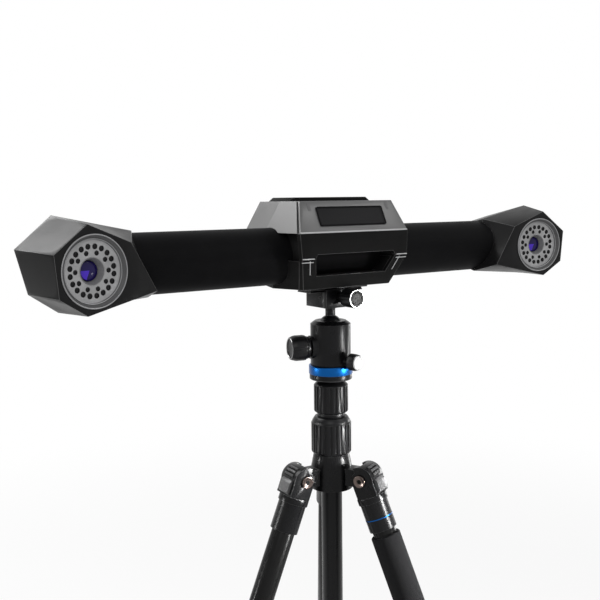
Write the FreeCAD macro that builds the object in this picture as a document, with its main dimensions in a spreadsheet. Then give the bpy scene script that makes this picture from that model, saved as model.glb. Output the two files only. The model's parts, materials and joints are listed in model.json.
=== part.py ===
"""Tracking scanner: a crossbar with a camera head at each end, on a ball head and tripod.

Millimetres. +Z up, the floor is z = 0 and the tripod's centre column stands on the origin.
The crossbar runs along X and its cameras look towards -Y.
"""
import FreeCAD, Part
import os

import Sketcher
from FreeCAD import Vector

doc = FreeCAD.newDocument("TrackingScanner")

# Driving dimensions: name, value in millimetres or degrees, what it is
SIZES = [
    ("fit_gap", 0.05, "gap between pieces that seat in each other"),
    ("slide_gap", 0.2, "gap between pieces that move in each other"),
    ("tube_r", 45, "outer radius of the crossbar tube"),
    ("tube_wall", 3, "wall of the crossbar tube"),
    ("tube_half", 380, "half the length of the crossbar tube"),
    ("bar_back", 10, "how far the crossbar lies behind the column"),
    ("plug_len", 28, "length of the plug inside each end of the tube"),
    ("plug_wall", 8, "wall of that plug"),
    ("head_reach", 47.5, "camera centre beyond the end of the tube"),
    ("head_fore", 82, "camera face in front of the bar's axis"),
    ("toe_in", 10.1, "angle by which each camera looks inwards"),
    ("head_belt", 66, "depth of the widest outline behind the middle of the face"),
    ("head_depth", 150, "whole depth of a camera head"),
    ("back_scale", 0.7, "rear outline as a share of the widest one"),
    ("back_shift", 10, "how far the rear outline lies inwards"),
    ("hollow_share", 0.88, "hollow of the rear shell as a share of its outline"),
    ("face_top_x", 8.5, "front outline, top corner"),
    ("face_top_z", 61, "front outline, top corner"),
    ("face_out_up_x", 57, "front outline, outer upper corner"),
    ("face_out_up_z", 24, "front outline, outer upper corner"),
    ("face_out_low_x", 52, "front outline, outer lower corner"),
    ("face_out_low_z", 32, "front outline, outer lower corner, below the middle"),
    ("face_low_x", 12.5, "front outline, bottom corner"),
    ("face_low_z", 57, "front outline, bottom corner, below the middle"),
    ("face_in_low_x", 95, "front outline, inner lower corner"),
    ("face_in_low_z", 33, "front outline, inner lower corner, below the middle"),
    ("face_in_up_x", 56, "front outline, inner upper corner"),
    ("face_in_up_z", 35, "front outline, inner upper corner"),
    ("belt_top_x", 21, "widest outline, top corner"),
    ("belt_top_z", 72, "widest outline, top corner"),
    ("belt_out_up_x", 71, "widest outline, outer upper corner"),
    ("belt_out_up_z", 29, "widest outline, outer upper corner"),
    ("belt_out_low_x", 56, "widest outline, outer lower corner"),
    ("belt_out_low_z", 30.5, "widest outline, outer lower corner, below the middle"),
    ("belt_low_x", 17, "widest outline, bottom corner"),
    ("belt_low_z", 57.5, "widest outline, bottom corner, below the middle"),
    ("belt_in_low_x", 113, "widest outline, inner lower corner"),
    ("belt_in_low_z", 46.5, "widest outline, inner lower corner, below the middle"),
    ("belt_in_up_x", 91, "widest outline, inner upper corner"),
    ("belt_in_up_z", 48.5, "widest outline, inner upper corner"),
    ("bezel_r", 48.5, "outer radius of the ring round the lamps"),
    ("bezel_in_r", 41, "inner radius of that ring"),
    ("bezel_lip", 1.3, "how far the ring's rim stands proud of the face"),
    ("bezel_rim", 1.5, "width of the rim"),
    ("bezel_depth", 6, "depth of the ring behind the face"),
    ("lamp_plate_r", 46, "radius of the lamp plate"),
    ("lamp_plate_t", 3, "thickness of the lamp plate"),
    ("lamp_dish", 1.5, "how much deeper the plate lies at its middle"),
    ("lamp_outer_r", 32.3, "radius of the outer circle of lamps"),
    ("lamp_outer_n", 20, "lamps in the outer circle"),
    ("lamp_outer_hole", 3.9, "radius of an outer lamp's hole"),
    ("lamp_inner_r", 24.4, "radius of the inner circle of lamps"),
    ("lamp_inner_n", 10, "lamps in the inner circle"),
    ("lamp_inner_hole", 3.4, "radius of an inner lamp's hole"),
    ("lamp_gap", 0.4, "gap round a lamp in its hole"),
    ("lamp_taper", 0.85, "front of a lamp as a share of its foot"),
    ("bay_r", 43, "radius of the space behind the lamp plate"),
    ("bay_depth", 54, "depth of that space"),
    ("cone_r", 18.1, "mouth of the funnel round the lens"),
    ("lens_r", 13.2, "radius of the lens"),
    ("lens_depth", 20, "lens behind the face"),
    ("lens_t", 4, "thickness of the lens"),
    ("barrel_r", 22, "radius of the camera barrel"),
    ("hub_top_x", 91.2, "hub, half length of its top"),
    ("hub_top_y", 56.2, "hub, half depth of its top"),
    ("hub_top_nose", 89.5, "hub, tip of the end at the top"),
    ("hub_top_z", 85.7, "hub, top above the bar's axis"),
    ("hub_ridge_x", 106.3, "hub, half length at the ridge"),
    ("hub_ridge_y", 79.9, "hub, half depth at the ridge"),
    ("hub_ridge_nose", 113, "hub, tip of the end at the ridge"),
    ("hub_ridge_z", 37.4, "hub, ridge above the bar's axis"),
    ("hub_bevel", 2, "height of the bevel along the ridge"),
    ("hub_crease_x", 103.7, "hub, half length at the crease"),
    ("hub_crease_y", 81.2, "hub, half depth at the crease"),
    ("hub_crease_nose", 111, "hub, tip of the end at the crease"),
    ("hub_crease_z", 1.9, "hub, crease below the bar's axis"),
    ("hub_low_x", 86, "hub, half length of its underside"),
    ("hub_low_y", 56.7, "hub, half depth of its underside"),
    ("hub_low_nose", 105, "hub, tip of the end at the underside"),
    ("hub_low_z", 50.6, "hub, underside below the bar's axis"),
    ("hub_wall", 4, "wall of the hub's upper cover"),
    ("frame_t", 8, "depth of the hub's front and rear frames"),
    ("cover_t", 3, "depth of the hub's front cover"),
    ("shell_z", 4.5, "rim of the hub's lower shell below the bar's axis"),
    ("core_x", 97, "half length of the block round the tube"),
    ("core_top_z", 52, "top of that block above the bar's axis"),
    ("core_top_x", 90, "half length of the block's top step"),
    ("core_top_y", 58, "half depth of the block's top step"),
    ("slot_top_x", 75, "grip slot, half width along its top"),
    ("slot_side_x", 79, "grip slot, half width at its sides"),
    ("slot_low_x", 69, "grip slot, half width along its bottom"),
    ("slot_top_z", 5, "grip slot, top above the bar's axis"),
    ("slot_side_z", 1, "grip slot, side corner below the bar's axis"),
    ("slot_low_z", 29, "grip slot, bottom below the bar's axis"),
    ("lid_x", 80, "half length of the plate on top of the hub"),
    ("lid_bevel", 8, "slope at each end of that plate"),
    ("lid_front", 14, "front edge of that plate before the bar's axis"),
    ("lid_rear", 48, "rear edge of that plate behind the bar's axis"),
    ("lid_t", 6, "thickness of that plate"),
    ("panel_x", 65, "half width of the bare panel on the hub's front"),
    ("panel_start", 11.3, "lower edge of the panel above the ridge, along the slope"),
    ("panel_tall", 32, "height of the panel"),
    ("panel_t", 1.2, "thickness of the panel"),
    ("panel_proud", 0.4, "how far the panel stands out of the cover"),
    ("socket_plate_x", 35, "half width of the socket block at the hub's rear"),
    ("socket_plate_low", 5, "lower edge of the socket block above the bar's axis"),
    ("socket_plate_tall", 26, "height of the socket block"),
    ("socket_plate_deep", 18, "depth of the socket block"),
    ("socket_proud", 1.5, "how far the socket block stands out"),
    ("socket_r", 6.5, "radius of a socket"),
    ("socket_deep", 12, "depth of a socket"),
    ("socket_pitch", 34, "distance between the sockets"),
    ("plate_x", 58, "half length of the quick plate"),
    ("plate_y", 25, "half depth of the quick plate"),
    ("plate_t", 5, "thickness of the quick plate above its dovetail"),
    ("tail_x", 52, "half length of the dovetail"),
    ("tail_y", 19, "half width of the dovetail at its foot"),
    ("tail_neck_y", 15.5, "half width of the dovetail at its neck"),
    ("tail_t", 5, "height of the dovetail"),
    ("tail_foot", 1.2, "upright edge at the foot of the dovetail"),
    ("screw_r", 4.76, "radius of the mounting screw"),
    ("screw_head_r", 9, "radius of the mounting screw's head"),
    ("screw_head_t", 4, "thickness of the mounting screw's head"),
    ("screw_bite", 5, "length of the mounting screw in the hub"),
    ("clamp_x", 28.4, "half length of the clamp"),
    ("clamp_y", 28, "half depth of the clamp"),
    ("clamp_floor", 25, "height of the clamp under the dovetail"),
    ("knob_stud_r", 3, "radius of the clamp knob's stud"),
    ("knob_barrel_r", 7.5, "radius of the clamp knob's barrel"),
    ("knob_barrel_len", 13, "length of the clamp knob's barrel"),
    ("knob_r", 15, "radius of the clamp knob"),
    ("knob_len", 30, "length of the clamp knob"),
    ("knob_edge", 2, "chamfer of the clamp knob"),
    ("stem_r", 8.25, "radius of the ball's stem"),
    ("stem_boss_r", 12, "radius of the boss on the stem"),
    ("stem_boss_t", 3, "thickness of that boss"),
    ("stem_len", 14, "clamp to the top of the ball"),
    ("ball_r", 20, "radius of the ball"),
    ("ball_gap", 0.3, "gap between the ball and its housing"),
    ("ball_show", 9.5, "height of the ball above its housing"),
    ("housing_r", 33.2, "radius of the ball housing"),
    ("housing_len", 73.5, "height of the ball housing"),
    ("housing_edge_r", 26, "radius of the housing's flat top"),
    ("housing_edge", 5.3, "height of the chamfer at the housing's top"),
    ("main_knob_z", 30.5, "main lock knob above the housing's foot"),
    ("main_knob_angle", 164.4, "angle of the main lock knob round the column"),
    ("main_knob_r", 21, "radius of the main lock knob"),
    ("main_knob_len", 34, "length of the main lock knob"),
    ("main_boss_r", 19, "radius of the collar under the main lock knob"),
    ("main_boss_reach", 37, "collar's face from the housing's axis"),
    ("main_stud_r", 5, "radius of the main lock knob's stud"),
    ("pan_knob_z", 8.5, "pan lock knob above the housing's foot"),
    ("pan_knob_angle", -76.7, "angle of the pan lock knob round the column"),
    ("pan_knob_r", 14, "radius of the pan lock knob"),
    ("pan_knob_len", 20, "length of the pan lock knob"),
    ("pan_boss_r", 7, "radius of the boss under the pan lock knob"),
    ("pan_boss_reach", 38, "that boss's face from the housing's axis"),
    ("pan_stud_r", 3, "radius of the pan lock knob's stud"),
    ("stud_end", 21, "end of both studs from the housing's axis"),
    ("spindle_r", 14, "radius of the pan spindle"),
    ("spindle_len", 14, "length of the pan spindle"),
    ("ring_r", 36.2, "radius of the blue pan ring"),
    ("ring_in_r", 30, "inner radius of the blue pan ring"),
    ("ring_t", 14.5, "height of the blue pan ring"),
    ("base_r", 35.2, "radius of the disc under the pan ring"),
    ("base_t", 9.5, "height of that disc"),
    ("neck_r", 19.6, "radius of the inner column's flange"),
    ("neck_t", 2, "thickness of the inner column's flange"),
    ("inner_r", 15, "radius of the inner column"),
    ("inner_len", 260, "length of the inner column"),
    ("column_wall", 2, "wall of both columns"),
    ("outer_r", 17.5, "radius of the outer column"),
    ("outer_len", 388, "length of the outer column"),
    ("lock_up_top_r", 18.2, "upper column lock, radius at its top"),
    ("lock_up_r", 28.4, "upper column lock, radius"),
    ("lock_up_low_r", 23.4, "upper column lock, radius at its foot"),
    ("lock_up_cone", 8.7, "upper column lock, height of its sloping top"),
    ("lock_up_len", 54.8, "upper column lock, height"),
    ("lock_up_edge", 2.4, "upper column lock, chamfer at its foot"),
    ("lock_up_roof", 12, "thickness of its top over the outer column"),
    ("ring_stop_r", 23, "radius of the stop ring on the outer column"),
    ("ring_stop_t", 6.4, "height of the stop ring"),
    ("lock_low_top_r", 27.2, "lower column lock, radius at its top"),
    ("lock_low_r", 33.4, "lower column lock, radius"),
    ("lock_low_low_r", 30, "lower column lock, radius at its foot"),
    ("lock_low_cone", 10.2, "lower column lock, height of its sloping top"),
    ("lock_low_len", 61.8, "lower column lock, height"),
    ("lock_low_edge", 2.3, "lower column lock, chamfer at its foot"),
    ("lock_low_roof", 14, "thickness of its top over the crown's neck"),
    ("crown_neck_r", 24, "radius of the crown's neck inside the lock"),
    ("crown_top_r", 29.5, "radius of the crown's cone at its top"),
    ("crown_low_r", 35.5, "radius of the crown's cone at its foot"),
    ("crown_cone", 29, "height of the crown's cone"),
    ("crown_disc", 30, "height of the crown's disc"),
    ("pivot_r", 62, "leg pivots from the column's axis"),
    ("pivot_below", 7, "leg pivots below the top of the crown's disc"),
    ("lug_r", 14, "radius of a lug round its pivot"),
    ("lug_w", 27, "width of a lug"),
    ("bolt_r", 6, "radius of a pivot bolt"),
    ("bolt_head_r", 10, "radius of a pivot bolt's head"),
    ("bolt_head_t", 3, "thickness of a pivot bolt's head"),
    ("leg_angle", 56.3, "angle of the rear leg round the column"),
    ("leg_spread_angle", 21.8, "angle between a leg and the column"),
    ("leg_len", 520, "pivot to the middle of the foot's dome"),
    ("casting_w", 44, "width of a leg's casting"),
    ("casting_r", 23, "radius of the casting's rounded top"),
    ("eye_r", 15, "radius of the casting round the bolt, on the inner side"),
    ("fork_gap", 0.5, "gap between a lug and the casting"),
    ("casting_neck", 30, "pivot to the casting's round neck"),
    ("casting_neck_r", 25, "radius of that neck"),
    ("sleeve_start", 40, "pivot to the start of the sleeve"),
    ("sleeve_end", 87, "pivot to the end of the sleeve"),
    ("sleeve_r", 23, "radius of the sleeve"),
    ("tab_w", 30, "width of an angle tab"),
    ("tab_top", 4, "pivot to the top of an angle tab"),
    ("tab_tall", 23, "height of an angle tab"),
    ("tab_seat", 17, "seat of an angle tab from the leg's axis"),
    ("tab_t", 10, "thickness of an angle tab"),
    ("leg_r", 19.25, "radius of the upper leg tube"),
    ("leg_wall", 1.8, "wall of the leg tubes"),
    ("leg_top", 48, "pivot to the top of the upper leg tube"),
    ("leg_bare", 41, "bare lower tube between a leg's twist lock and its foot"),
    ("twist_r", 24, "radius of a leg's twist lock"),
    ("twist_over", 30, "length of a twist lock over the upper tube"),
    ("twist_len", 55, "length of a twist lock"),
    ("twist_edge", 4, "chamfer of a twist lock"),
    ("lower_r", 16, "radius of the lower leg tube"),
    ("lower_len", 372, "length of the lower leg tube"),
    ("bush_len", 12, "length of the bush on the lower leg tube"),
    ("foot_r", 18, "radius of a foot's sleeve"),
    ("foot_dome_r", 16, "radius of a foot's dome"),
    ("foot_len", 24, "length of a foot's sleeve above its dome's middle"),
    ("foot_grip", 16, "length of tube inside a foot"),
    ("foam_r", 24.5, "radius of the foam grip"),
    ("foam_start", 96, "pivot to the top of the foam grip"),
    ("foam_gap", 19, "bare tube between the foam grip and the twist lock"),
    ("hook_cap_t", 12, "thickness of the cap under the column"),
    ("hook_r", 6, "radius of the hook's eye"),
    ("hook_t", 4, "thickness of the hook"),
    ("hook_w", 22, "width of the hook"),
    ("hook_drop", 12, "eye's centre below the cap"),
]

# Places worked out from the sizes, from the floor up
LEVELS = [
    ("pivot_z", "dim.leg_len * cos(dim.leg_spread_angle) + dim.foot_dome_r", "height of the leg pivots"),
    ("disc_z", "pivot_z + dim.pivot_below", "top of the crown's disc"),
    ("cone_z", "disc_z + dim.crown_cone", "top of the crown's cone"),
    ("low_lock_z", "cone_z + dim.slide_gap", "foot of the lower column lock"),
    ("stop_z", "low_lock_z + dim.lock_low_len", "foot of the outer column's stop ring"),
    ("up_lock_z", "stop_z + dim.ring_stop_t + dim.slide_gap", "foot of the upper column lock"),
    ("flange_z", "up_lock_z + dim.lock_up_len", "foot of the inner column's flange"),
    ("base_z", "flange_z + dim.neck_t", "foot of the disc under the pan ring"),
    ("ring_z", "base_z + dim.base_t", "foot of the blue pan ring"),
    ("housing_z", "ring_z + dim.ring_t + dim.slide_gap", "foot of the ball housing"),
    ("ball_z", "housing_z + dim.housing_len + dim.ball_show - dim.ball_r", "centre of the ball"),
    ("clamp_z", "ball_z + dim.ball_r + dim.stem_len", "underside of the clamp"),
    ("tail_z", "clamp_z + dim.clamp_floor + dim.slide_gap", "foot of the dovetail"),
    ("hub_z", "tail_z + dim.tail_t + dim.plate_t", "underside of the hub"),
    ("bar_z", "hub_z + dim.hub_low_z", "height of the crossbar's axis"),
    ("head_x", "dim.tube_half + dim.head_reach", "camera centre from the middle of the bar"),
    ("slope", "atan((dim.hub_ridge_y - dim.hub_top_y) / (dim.hub_top_z - dim.hub_ridge_z))",
     "lean of the hub's front cover"),
    ("lock_up_top", "up_lock_z + dim.lock_up_len", "top of the upper column lock"),
    ("outer_top", "lock_up_top - dim.lock_up_roof", "top of the outer column"),
    ("outer_low", "outer_top - dim.outer_len", "foot of the outer column"),
    ("neck_top", "low_lock_z + dim.lock_low_len - dim.lock_low_roof", "top of the crown's neck"),
    ("leg_end", "dim.leg_len - dim.foot_len - dim.leg_bare - dim.twist_len + dim.twist_over",
     "pivot to the end of the upper leg tube"),
    ("lower_top", "dim.leg_len - dim.foot_len + dim.foot_grip - dim.lower_len",
     "pivot to the top of the lower leg tube"),
    ("foam_end", "leg_end - dim.twist_over - dim.foam_gap", "pivot to the end of the foam grip"),
]


def fill_sheet(name, rows):
    """Put name, value and note of each row in a spreadsheet and give the value its alias."""
    sheet = doc.addObject("Spreadsheet::Sheet", name)
    for number, (alias, value, note) in enumerate(rows, 1):
        sheet.set("A%d" % number, alias)
        sheet.setAlias("B%d" % number, alias)
        sheet.set("B%d" % number, str(value))
        sheet.set("C%d" % number, note)
    doc.recompute()
    return sheet


dim = fill_sheet("dim", SIZES)
at = fill_sheet("at", [(alias, "=" + rule, note) for alias, rule, note in LEVELS])

reader = doc.addObject("App::FeaturePython", "Reader")
reader.addProperty("App::PropertyFloat", "Reading")


def worth(rule):
    """The number that a rule of the sheets gives now."""
    reader.setExpression("Reading", rule)
    reader.recompute()
    return reader.Reading


def size(alias):
    """A driving dimension as a number, for counts and loops."""
    return float(dim.get(alias))


def place(thing, x="0", y="0", z="0", yaw="0", pitch="0", roll="0"):
    """Bind a thing's placement: turned about X, then Y, then Z, and moved."""
    rule = "placement(vector(%s; %s; %s); rotation(%s; %s; %s))" % (x, y, z, yaw, pitch, roll)
    thing.setExpression("Placement", rule)
    return thing


def new_body(label):
    body = doc.addObject("PartDesign::Body", label)
    body.Label = label
    return body


def new_sketch(body, name, plane, offset="0", shift="0", lean="0"):
    """An empty sketch on one of the body's own planes, moved or turned about its own upright."""
    sketch = body.newObject("Sketcher::SketchObject", name)
    base = next(item for item in body.Origin.OriginFeatures if item.Role == plane)
    sketch.AttachmentSupport = [(base, "")]
    sketch.MapMode = "FlatFace"
    rule = "placement(vector(%s; 0; %s); rotation(0; %s; 0))" % (shift, offset, lean)
    sketch.setExpression("AttachmentOffset", rule)
    return sketch


def hold_point(sketch, item, point, across, up):
    """Hold one point of a sketch at two rules of the sheets."""
    for kind, axis, rule in (("DistanceX", -2, across), ("DistanceY", -1, up)):
        if rule == "0":
            sketch.addConstraint(Sketcher.Constraint("PointOnObject", item, point, axis))
        else:
            number = sketch.addConstraint(
                Sketcher.Constraint(kind, -1, 1, item, point, worth(rule)))
            sketch.setExpression("Constraints[%d]" % number, rule)


def draw_outline(sketch, corners):
    """A closed outline of straight lines through corners given as rules."""
    spots = [Vector(worth(across), worth(up), 0) for across, up in corners]
    count = len(spots)
    for number in range(count):
        sketch.addGeometry(Part.LineSegment(spots[number], spots[(number + 1) % count]))
    for number in range(count):
        sketch.addConstraint(
            Sketcher.Constraint("Coincident", number, 2, (number + 1) % count, 1))
    for number, (across, up) in enumerate(corners):
        hold_point(sketch, number, 1, across, up)


def turned(label, corners):
    """A body turned about Z from an outline of radius and height."""
    body = new_body(label)
    sketch = new_sketch(body, label + "_profile", "XZ_Plane")
    draw_outline(sketch, corners)
    turn = body.newObject("PartDesign::Revolution", label + "_turn")
    turn.Profile = sketch
    turn.ReferenceAxis = (sketch, ["V_Axis"])
    turn.Angle = 360
    return body


def prism(label, plane, corners, start, length):
    """A body padded from an outline, along the plane's normal, from start on."""
    body = new_body(label)
    sketch = new_sketch(body, label + "_profile", plane, start)
    draw_outline(sketch, corners)
    pad = body.newObject("PartDesign::Pad", label + "_pad")
    pad.Profile = sketch
    pad.setExpression("Length", length)
    return body


def lofted(label, plane, sections):
    """A body with flat sides between outlines, each with where its plane lies."""
    body = new_body(label)
    sketches = []
    for number, (where, corners) in enumerate(sections):
        sketch = new_sketch(body, "%s_section_%d" % (label, number), plane, *where)
        draw_outline(sketch, corners)
        sketches.append(sketch)
    loft = body.newObject("PartDesign::AdditiveLoft", label + "_loft")
    loft.Profile = sketches[0]
    loft.Sections = sketches[1:]
    loft.Ruled = True
    return body


def rod(label, radius, height):
    """A cylinder that stands on the origin."""
    thing = doc.addObject("Part::Cylinder", label)
    thing.setExpression("Radius", radius)
    thing.setExpression("Height", height)
    return thing


def ball(label, radius):
    thing = doc.addObject("Part::Sphere", label)
    thing.setExpression("Radius", radius)
    return thing


def cone(label, foot, top, height):
    thing = doc.addObject("Part::Cone", label)
    thing.setExpression("Radius1", foot)
    thing.setExpression("Radius2", top)
    thing.setExpression("Height", height)
    return thing


def block(label, x, y, z):
    """A box given as three pairs of low and high rules."""
    thing = doc.addObject("Part::Box", label)
    for side, (low, high) in zip(("Length", "Width", "Height"), (x, y, z)):
        thing.setExpression(side, "(%s) - (%s)" % (high, low))
    return place(thing, x[0], y[0], z[0])


def join(label, things):
    fused = doc.addObject("Part::MultiFuse", label)
    fused.Shapes = things
    fused.Refine = True
    return fused


def group(label, things):
    """Separate solids that share one name."""
    together = doc.addObject("Part::Compound", label)
    together.Links = things
    return together


def overlap(label, first, second):
    common = doc.addObject("Part::Common", label)
    common.Base = first
    common.Tool = second
    return common


def cut(label, thing, tools):
    """What is left of a thing when the tools are taken away from it."""
    tool = tools[0] if len(tools) == 1 else group(label + "_tools", tools)
    left = doc.addObject("Part::Cut", label)
    left.Base = thing
    left.Tool = tool
    return left


def mirrored(label, thing):
    """The same thing on the other side of the YZ plane."""
    other = doc.addObject("Part::Mirroring", label)
    other.Source = thing
    other.Base = Vector(0, 0, 0)
    other.Normal = Vector(1, 0, 0)
    return other


nodes = []


def keep(thing, label=None):
    """Make a finished piece a named node."""
    thing.Label = label or thing.Name
    nodes.append(thing)
    return thing


def on_bar(thing, x="0", yaw="0", pitch="0", roll="0"):
    """Place a thing that was made round the middle of the crossbar."""
    return place(thing, x, "dim.bar_back", "at.bar_z", yaw, pitch, roll)


# Crossbar
def make_crossbar():
    inner = "dim.tube_r - dim.tube_wall"
    tube = turned("crossbar_tube", [
        (inner, "-dim.tube_half"), ("dim.tube_r", "-dim.tube_half"),
        ("dim.tube_r", "dim.tube_half"), (inner, "dim.tube_half")])
    keep(on_bar(tube, pitch="90"))
    bore = "%s - dim.plug_wall" % inner
    start = "dim.tube_half - dim.plug_len"
    plug = turned("plug_right", [
        (bore, start), ("%s - dim.fit_gap - 1" % inner, start),
        ("%s - dim.fit_gap" % inner, "%s + 1" % start),
        ("%s - dim.fit_gap" % inner, "dim.tube_half"), (bore, "dim.tube_half")])
    on_bar(plug, pitch="90")
    keep(group("tube_plugs", [plug, mirrored("plug_left", plug)]))


# Camera heads: x outwards, y into the depth and z up, from the middle of the camera's face
def in_head(thing, roll="0"):
    return place(thing, "at.head_x", "dim.bar_back - dim.head_fore", "at.bar_z",
                 "-dim.toe_in", "0", roll)


def both_heads(label, thing, roll="0"):
    """Keep a piece of the right head and its mirror image in the left one."""
    keep(in_head(thing, roll), label + "_right")
    keep(mirrored(label + "_left", thing))


def head_outline(name, scale="1", inwards="0"):
    corners = (("top", "", ""), ("out_up", "", ""), ("out_low", "", "-"),
               ("low", "", "-"), ("in_low", "-", "-"), ("in_up", "-", ""))
    return [("%sdim.%s_%s_x * %s - %s" % (side, name, corner, scale, inwards),
             "%sdim.%s_%s_z * %s" % (level, name, corner, scale))
            for corner, side, level in corners]


def square_to_bar(behind="0"):
    """Where a section stands that faces along the bar's front, this far behind the belt."""
    return ("-(dim.head_belt + (%s) * cos(dim.toe_in))" % behind,
            "-(%s) * sin(dim.toe_in)" % behind, "dim.toe_in")


def bar_bore():
    """The space that the tube takes inside a head."""
    bore = rod("bar_bore", "dim.tube_r + dim.fit_gap", "dim.tube_half")
    reach = "dim.head_reach - dim.fit_gap"
    return place(bore, "-(%s) * cos(dim.toe_in) - dim.head_fore * sin(dim.toe_in)" % reach,
                 "dim.head_fore * cos(dim.toe_in) - (%s) * sin(dim.toe_in)" % reach, "0",
                 "dim.toe_in", "-90")


def make_head_shells():
    deep = "dim.head_depth - dim.head_belt"
    front = lofted("front_form", "XZ_Plane", [
        (("0",), head_outline("face")), (square_to_bar(), head_outline("belt"))])
    rear = lofted("rear_form", "XZ_Plane", [
        (square_to_bar(), head_outline("belt")),
        (square_to_bar(deep), head_outline("belt", "dim.back_scale", "dim.back_shift"))])
    shoulder = "dim.bezel_depth + dim.lamp_plate_t"
    bay = turned("camera_bay", [
        ("0", "-1"), ("dim.bezel_r + dim.fit_gap", "-1"),
        ("dim.bezel_r + dim.fit_gap", "dim.bezel_depth"),
        ("dim.lamp_plate_r + dim.fit_gap", "dim.bezel_depth"),
        ("dim.lamp_plate_r + dim.fit_gap", shoulder),
        ("dim.bay_r", shoulder), ("dim.bay_r", "dim.bay_depth"), ("0", "dim.bay_depth")])
    place(bay, roll="-90")
    bore = bar_bore()
    both_heads("head_front", cut("front_shell", front, [bay, bore]))
    hollow = lofted("rear_hollow", "XZ_Plane", [
        (square_to_bar(), head_outline("belt", "dim.hollow_share")),
        (square_to_bar("%s - dim.hub_wall" % deep),
         head_outline("belt", "dim.back_scale * dim.hollow_share", "dim.back_shift"))])
    both_heads("head_rear", cut("rear_shell", rear, [join("rear_spaces", [hollow, bore])]))


def make_bezel():
    ring = turned("bezel", [
        ("dim.bezel_in_r", "dim.bezel_depth"), ("dim.bezel_in_r + 1", "0.5"),
        ("dim.bezel_r - dim.bezel_rim - 1", "0"), ("dim.bezel_r - dim.bezel_rim", "-dim.bezel_lip"),
        ("dim.bezel_r", "-dim.bezel_lip"), ("dim.bezel_r", "dim.bezel_depth")])
    both_heads("bezel_ring", ring, "-90")


def lamp_circles():
    return (("outer", "9"), ("inner", "18"))


def make_lamp_plate():
    hole = "dim.cone_r + dim.fit_gap"
    low = "dim.bezel_depth + dim.lamp_plate_t"
    plate = turned("lamp_plate", [
        (hole, "dim.bezel_depth + dim.lamp_dish"), ("dim.bezel_in_r", "dim.bezel_depth"),
        ("dim.lamp_plate_r", "dim.bezel_depth"), ("dim.lamp_plate_r", low), (hole, low)])
    for circle, turn in lamp_circles():
        sketch = new_sketch(plate, circle + "_hole", "XY_Plane")
        across = "dim.lamp_%s_r * sin(%s)" % (circle, turn)
        up = "dim.lamp_%s_r * cos(%s)" % (circle, turn)
        middle = Vector(worth(across), worth(up), 0)
        radius = size("lamp_%s_hole" % circle)
        sketch.addGeometry(Part.Circle(middle, Vector(0, 0, 1), radius))
        hold_point(sketch, 0, 3, across, up)
        number = sketch.addConstraint(Sketcher.Constraint("Radius", 0, radius))
        sketch.setExpression("Constraints[%d]" % number, "dim.lamp_%s_hole" % circle)
        pocket = plate.newObject("PartDesign::Pocket", circle + "_pocket")
        pocket.Profile = sketch
        pocket.Reversed = True
        pocket.setExpression("Length", "%s + 1" % low)
        doc.recompute()
        pattern = plate.newObject("PartDesign::PolarPattern", circle + "_pattern")
        pattern.Originals = [pocket]
        pattern.Axis = (sketch, ["N_Axis"])
        pattern.Angle = 360
        pattern.setExpression("Occurrences", "dim.lamp_%s_n" % circle)
        plate.Tip = pattern
        doc.recompute()
    both_heads("led_plate", plate, "-90")


def make_lamps():
    lamps = []
    for circle, turn in lamp_circles():
        radius = "dim.lamp_%s_hole - dim.lamp_gap" % circle
        for number in range(int(size("lamp_%s_n" % circle))):
            angle = "%s + 360 * %d / dim.lamp_%s_n" % (turn, number, circle)
            lamp = cone("%s_lamp_%d" % (circle, number), "(%s) * dim.lamp_taper" % radius, radius,
                        "dim.lamp_plate_t")
            lamps.append(place(lamp, "dim.lamp_%s_r * sin(%s)" % (circle, angle),
                               "dim.lamp_%s_r * cos(%s)" % (circle, angle), "dim.bezel_depth"))
    right = in_head(group("lamps_right", lamps), "-90")
    keep(group("led_lamps", [right, mirrored("lamps_left", right)]))


def make_camera():
    back = "dim.bezel_depth + dim.lamp_plate_t + dim.fit_gap"
    barrel = turned("barrel", [
        ("0", "dim.lens_depth + dim.lens_t"), ("dim.lens_r", "dim.lens_depth + dim.lens_t"),
        ("dim.lens_r", "dim.lens_depth"), ("dim.cone_r - 0.8", "dim.bezel_depth + 1"),
        ("dim.cone_r", "dim.bezel_depth + 1"), ("dim.cone_r", back), ("dim.barrel_r", back),
        ("dim.barrel_r", "dim.bay_depth"), ("0", "dim.bay_depth")])
    both_heads("camera_barrel", barrel, "-90")
    rim = "dim.lens_depth + dim.lens_t / 2"
    lens = turned("lens_right", [
        ("0", "dim.lens_depth"), ("dim.lens_r * 0.6", "dim.lens_depth + dim.lens_t * 0.12"),
        ("dim.lens_r - dim.fit_gap", rim),
        ("dim.lens_r - dim.fit_gap", "dim.lens_depth + dim.lens_t"),
        ("0", "dim.lens_depth + dim.lens_t")])
    in_head(lens, "-90")
    keep(group("front_lenses", [lens, mirrored("lens_left", lens)]))


def make_heads():
    make_head_shells()
    make_bezel()
    make_lamp_plate()
    make_lamps()
    make_camera()


# Hub in the middle of the crossbar
def hexagon(x, y, nose):
    """Outline of the hub at one level: a blunt point at each end."""
    return [("-(%s)" % nose, "0"), ("-(%s)" % x, "-(%s)" % y), (x, "-(%s)" % y),
            (nose, "0"), (x, y), ("-(%s)" % x, y)]


def hub_level(name, less_x="0", less_y="0"):
    return hexagon("dim.hub_%s_x - %s" % (name, less_x), "dim.hub_%s_y - %s" % (name, less_y),
                   "dim.hub_%s_nose - %s" % (name, less_x))


def hub_form():
    """The whole outer form of the hub, before it is parted into its covers."""
    return lofted("hub_form", "XY_Plane", [
        (("-dim.hub_low_z",), hub_level("low")), (("-dim.hub_crease_z",), hub_level("crease")),
        (("dim.hub_ridge_z",), hub_level("ridge")),
        (("dim.hub_ridge_z + dim.hub_bevel",),
         hub_level("ridge", "dim.hub_bevel / 2", "dim.hub_bevel / 2")),
        (("dim.hub_top_z",), hub_level("top"))])


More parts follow.
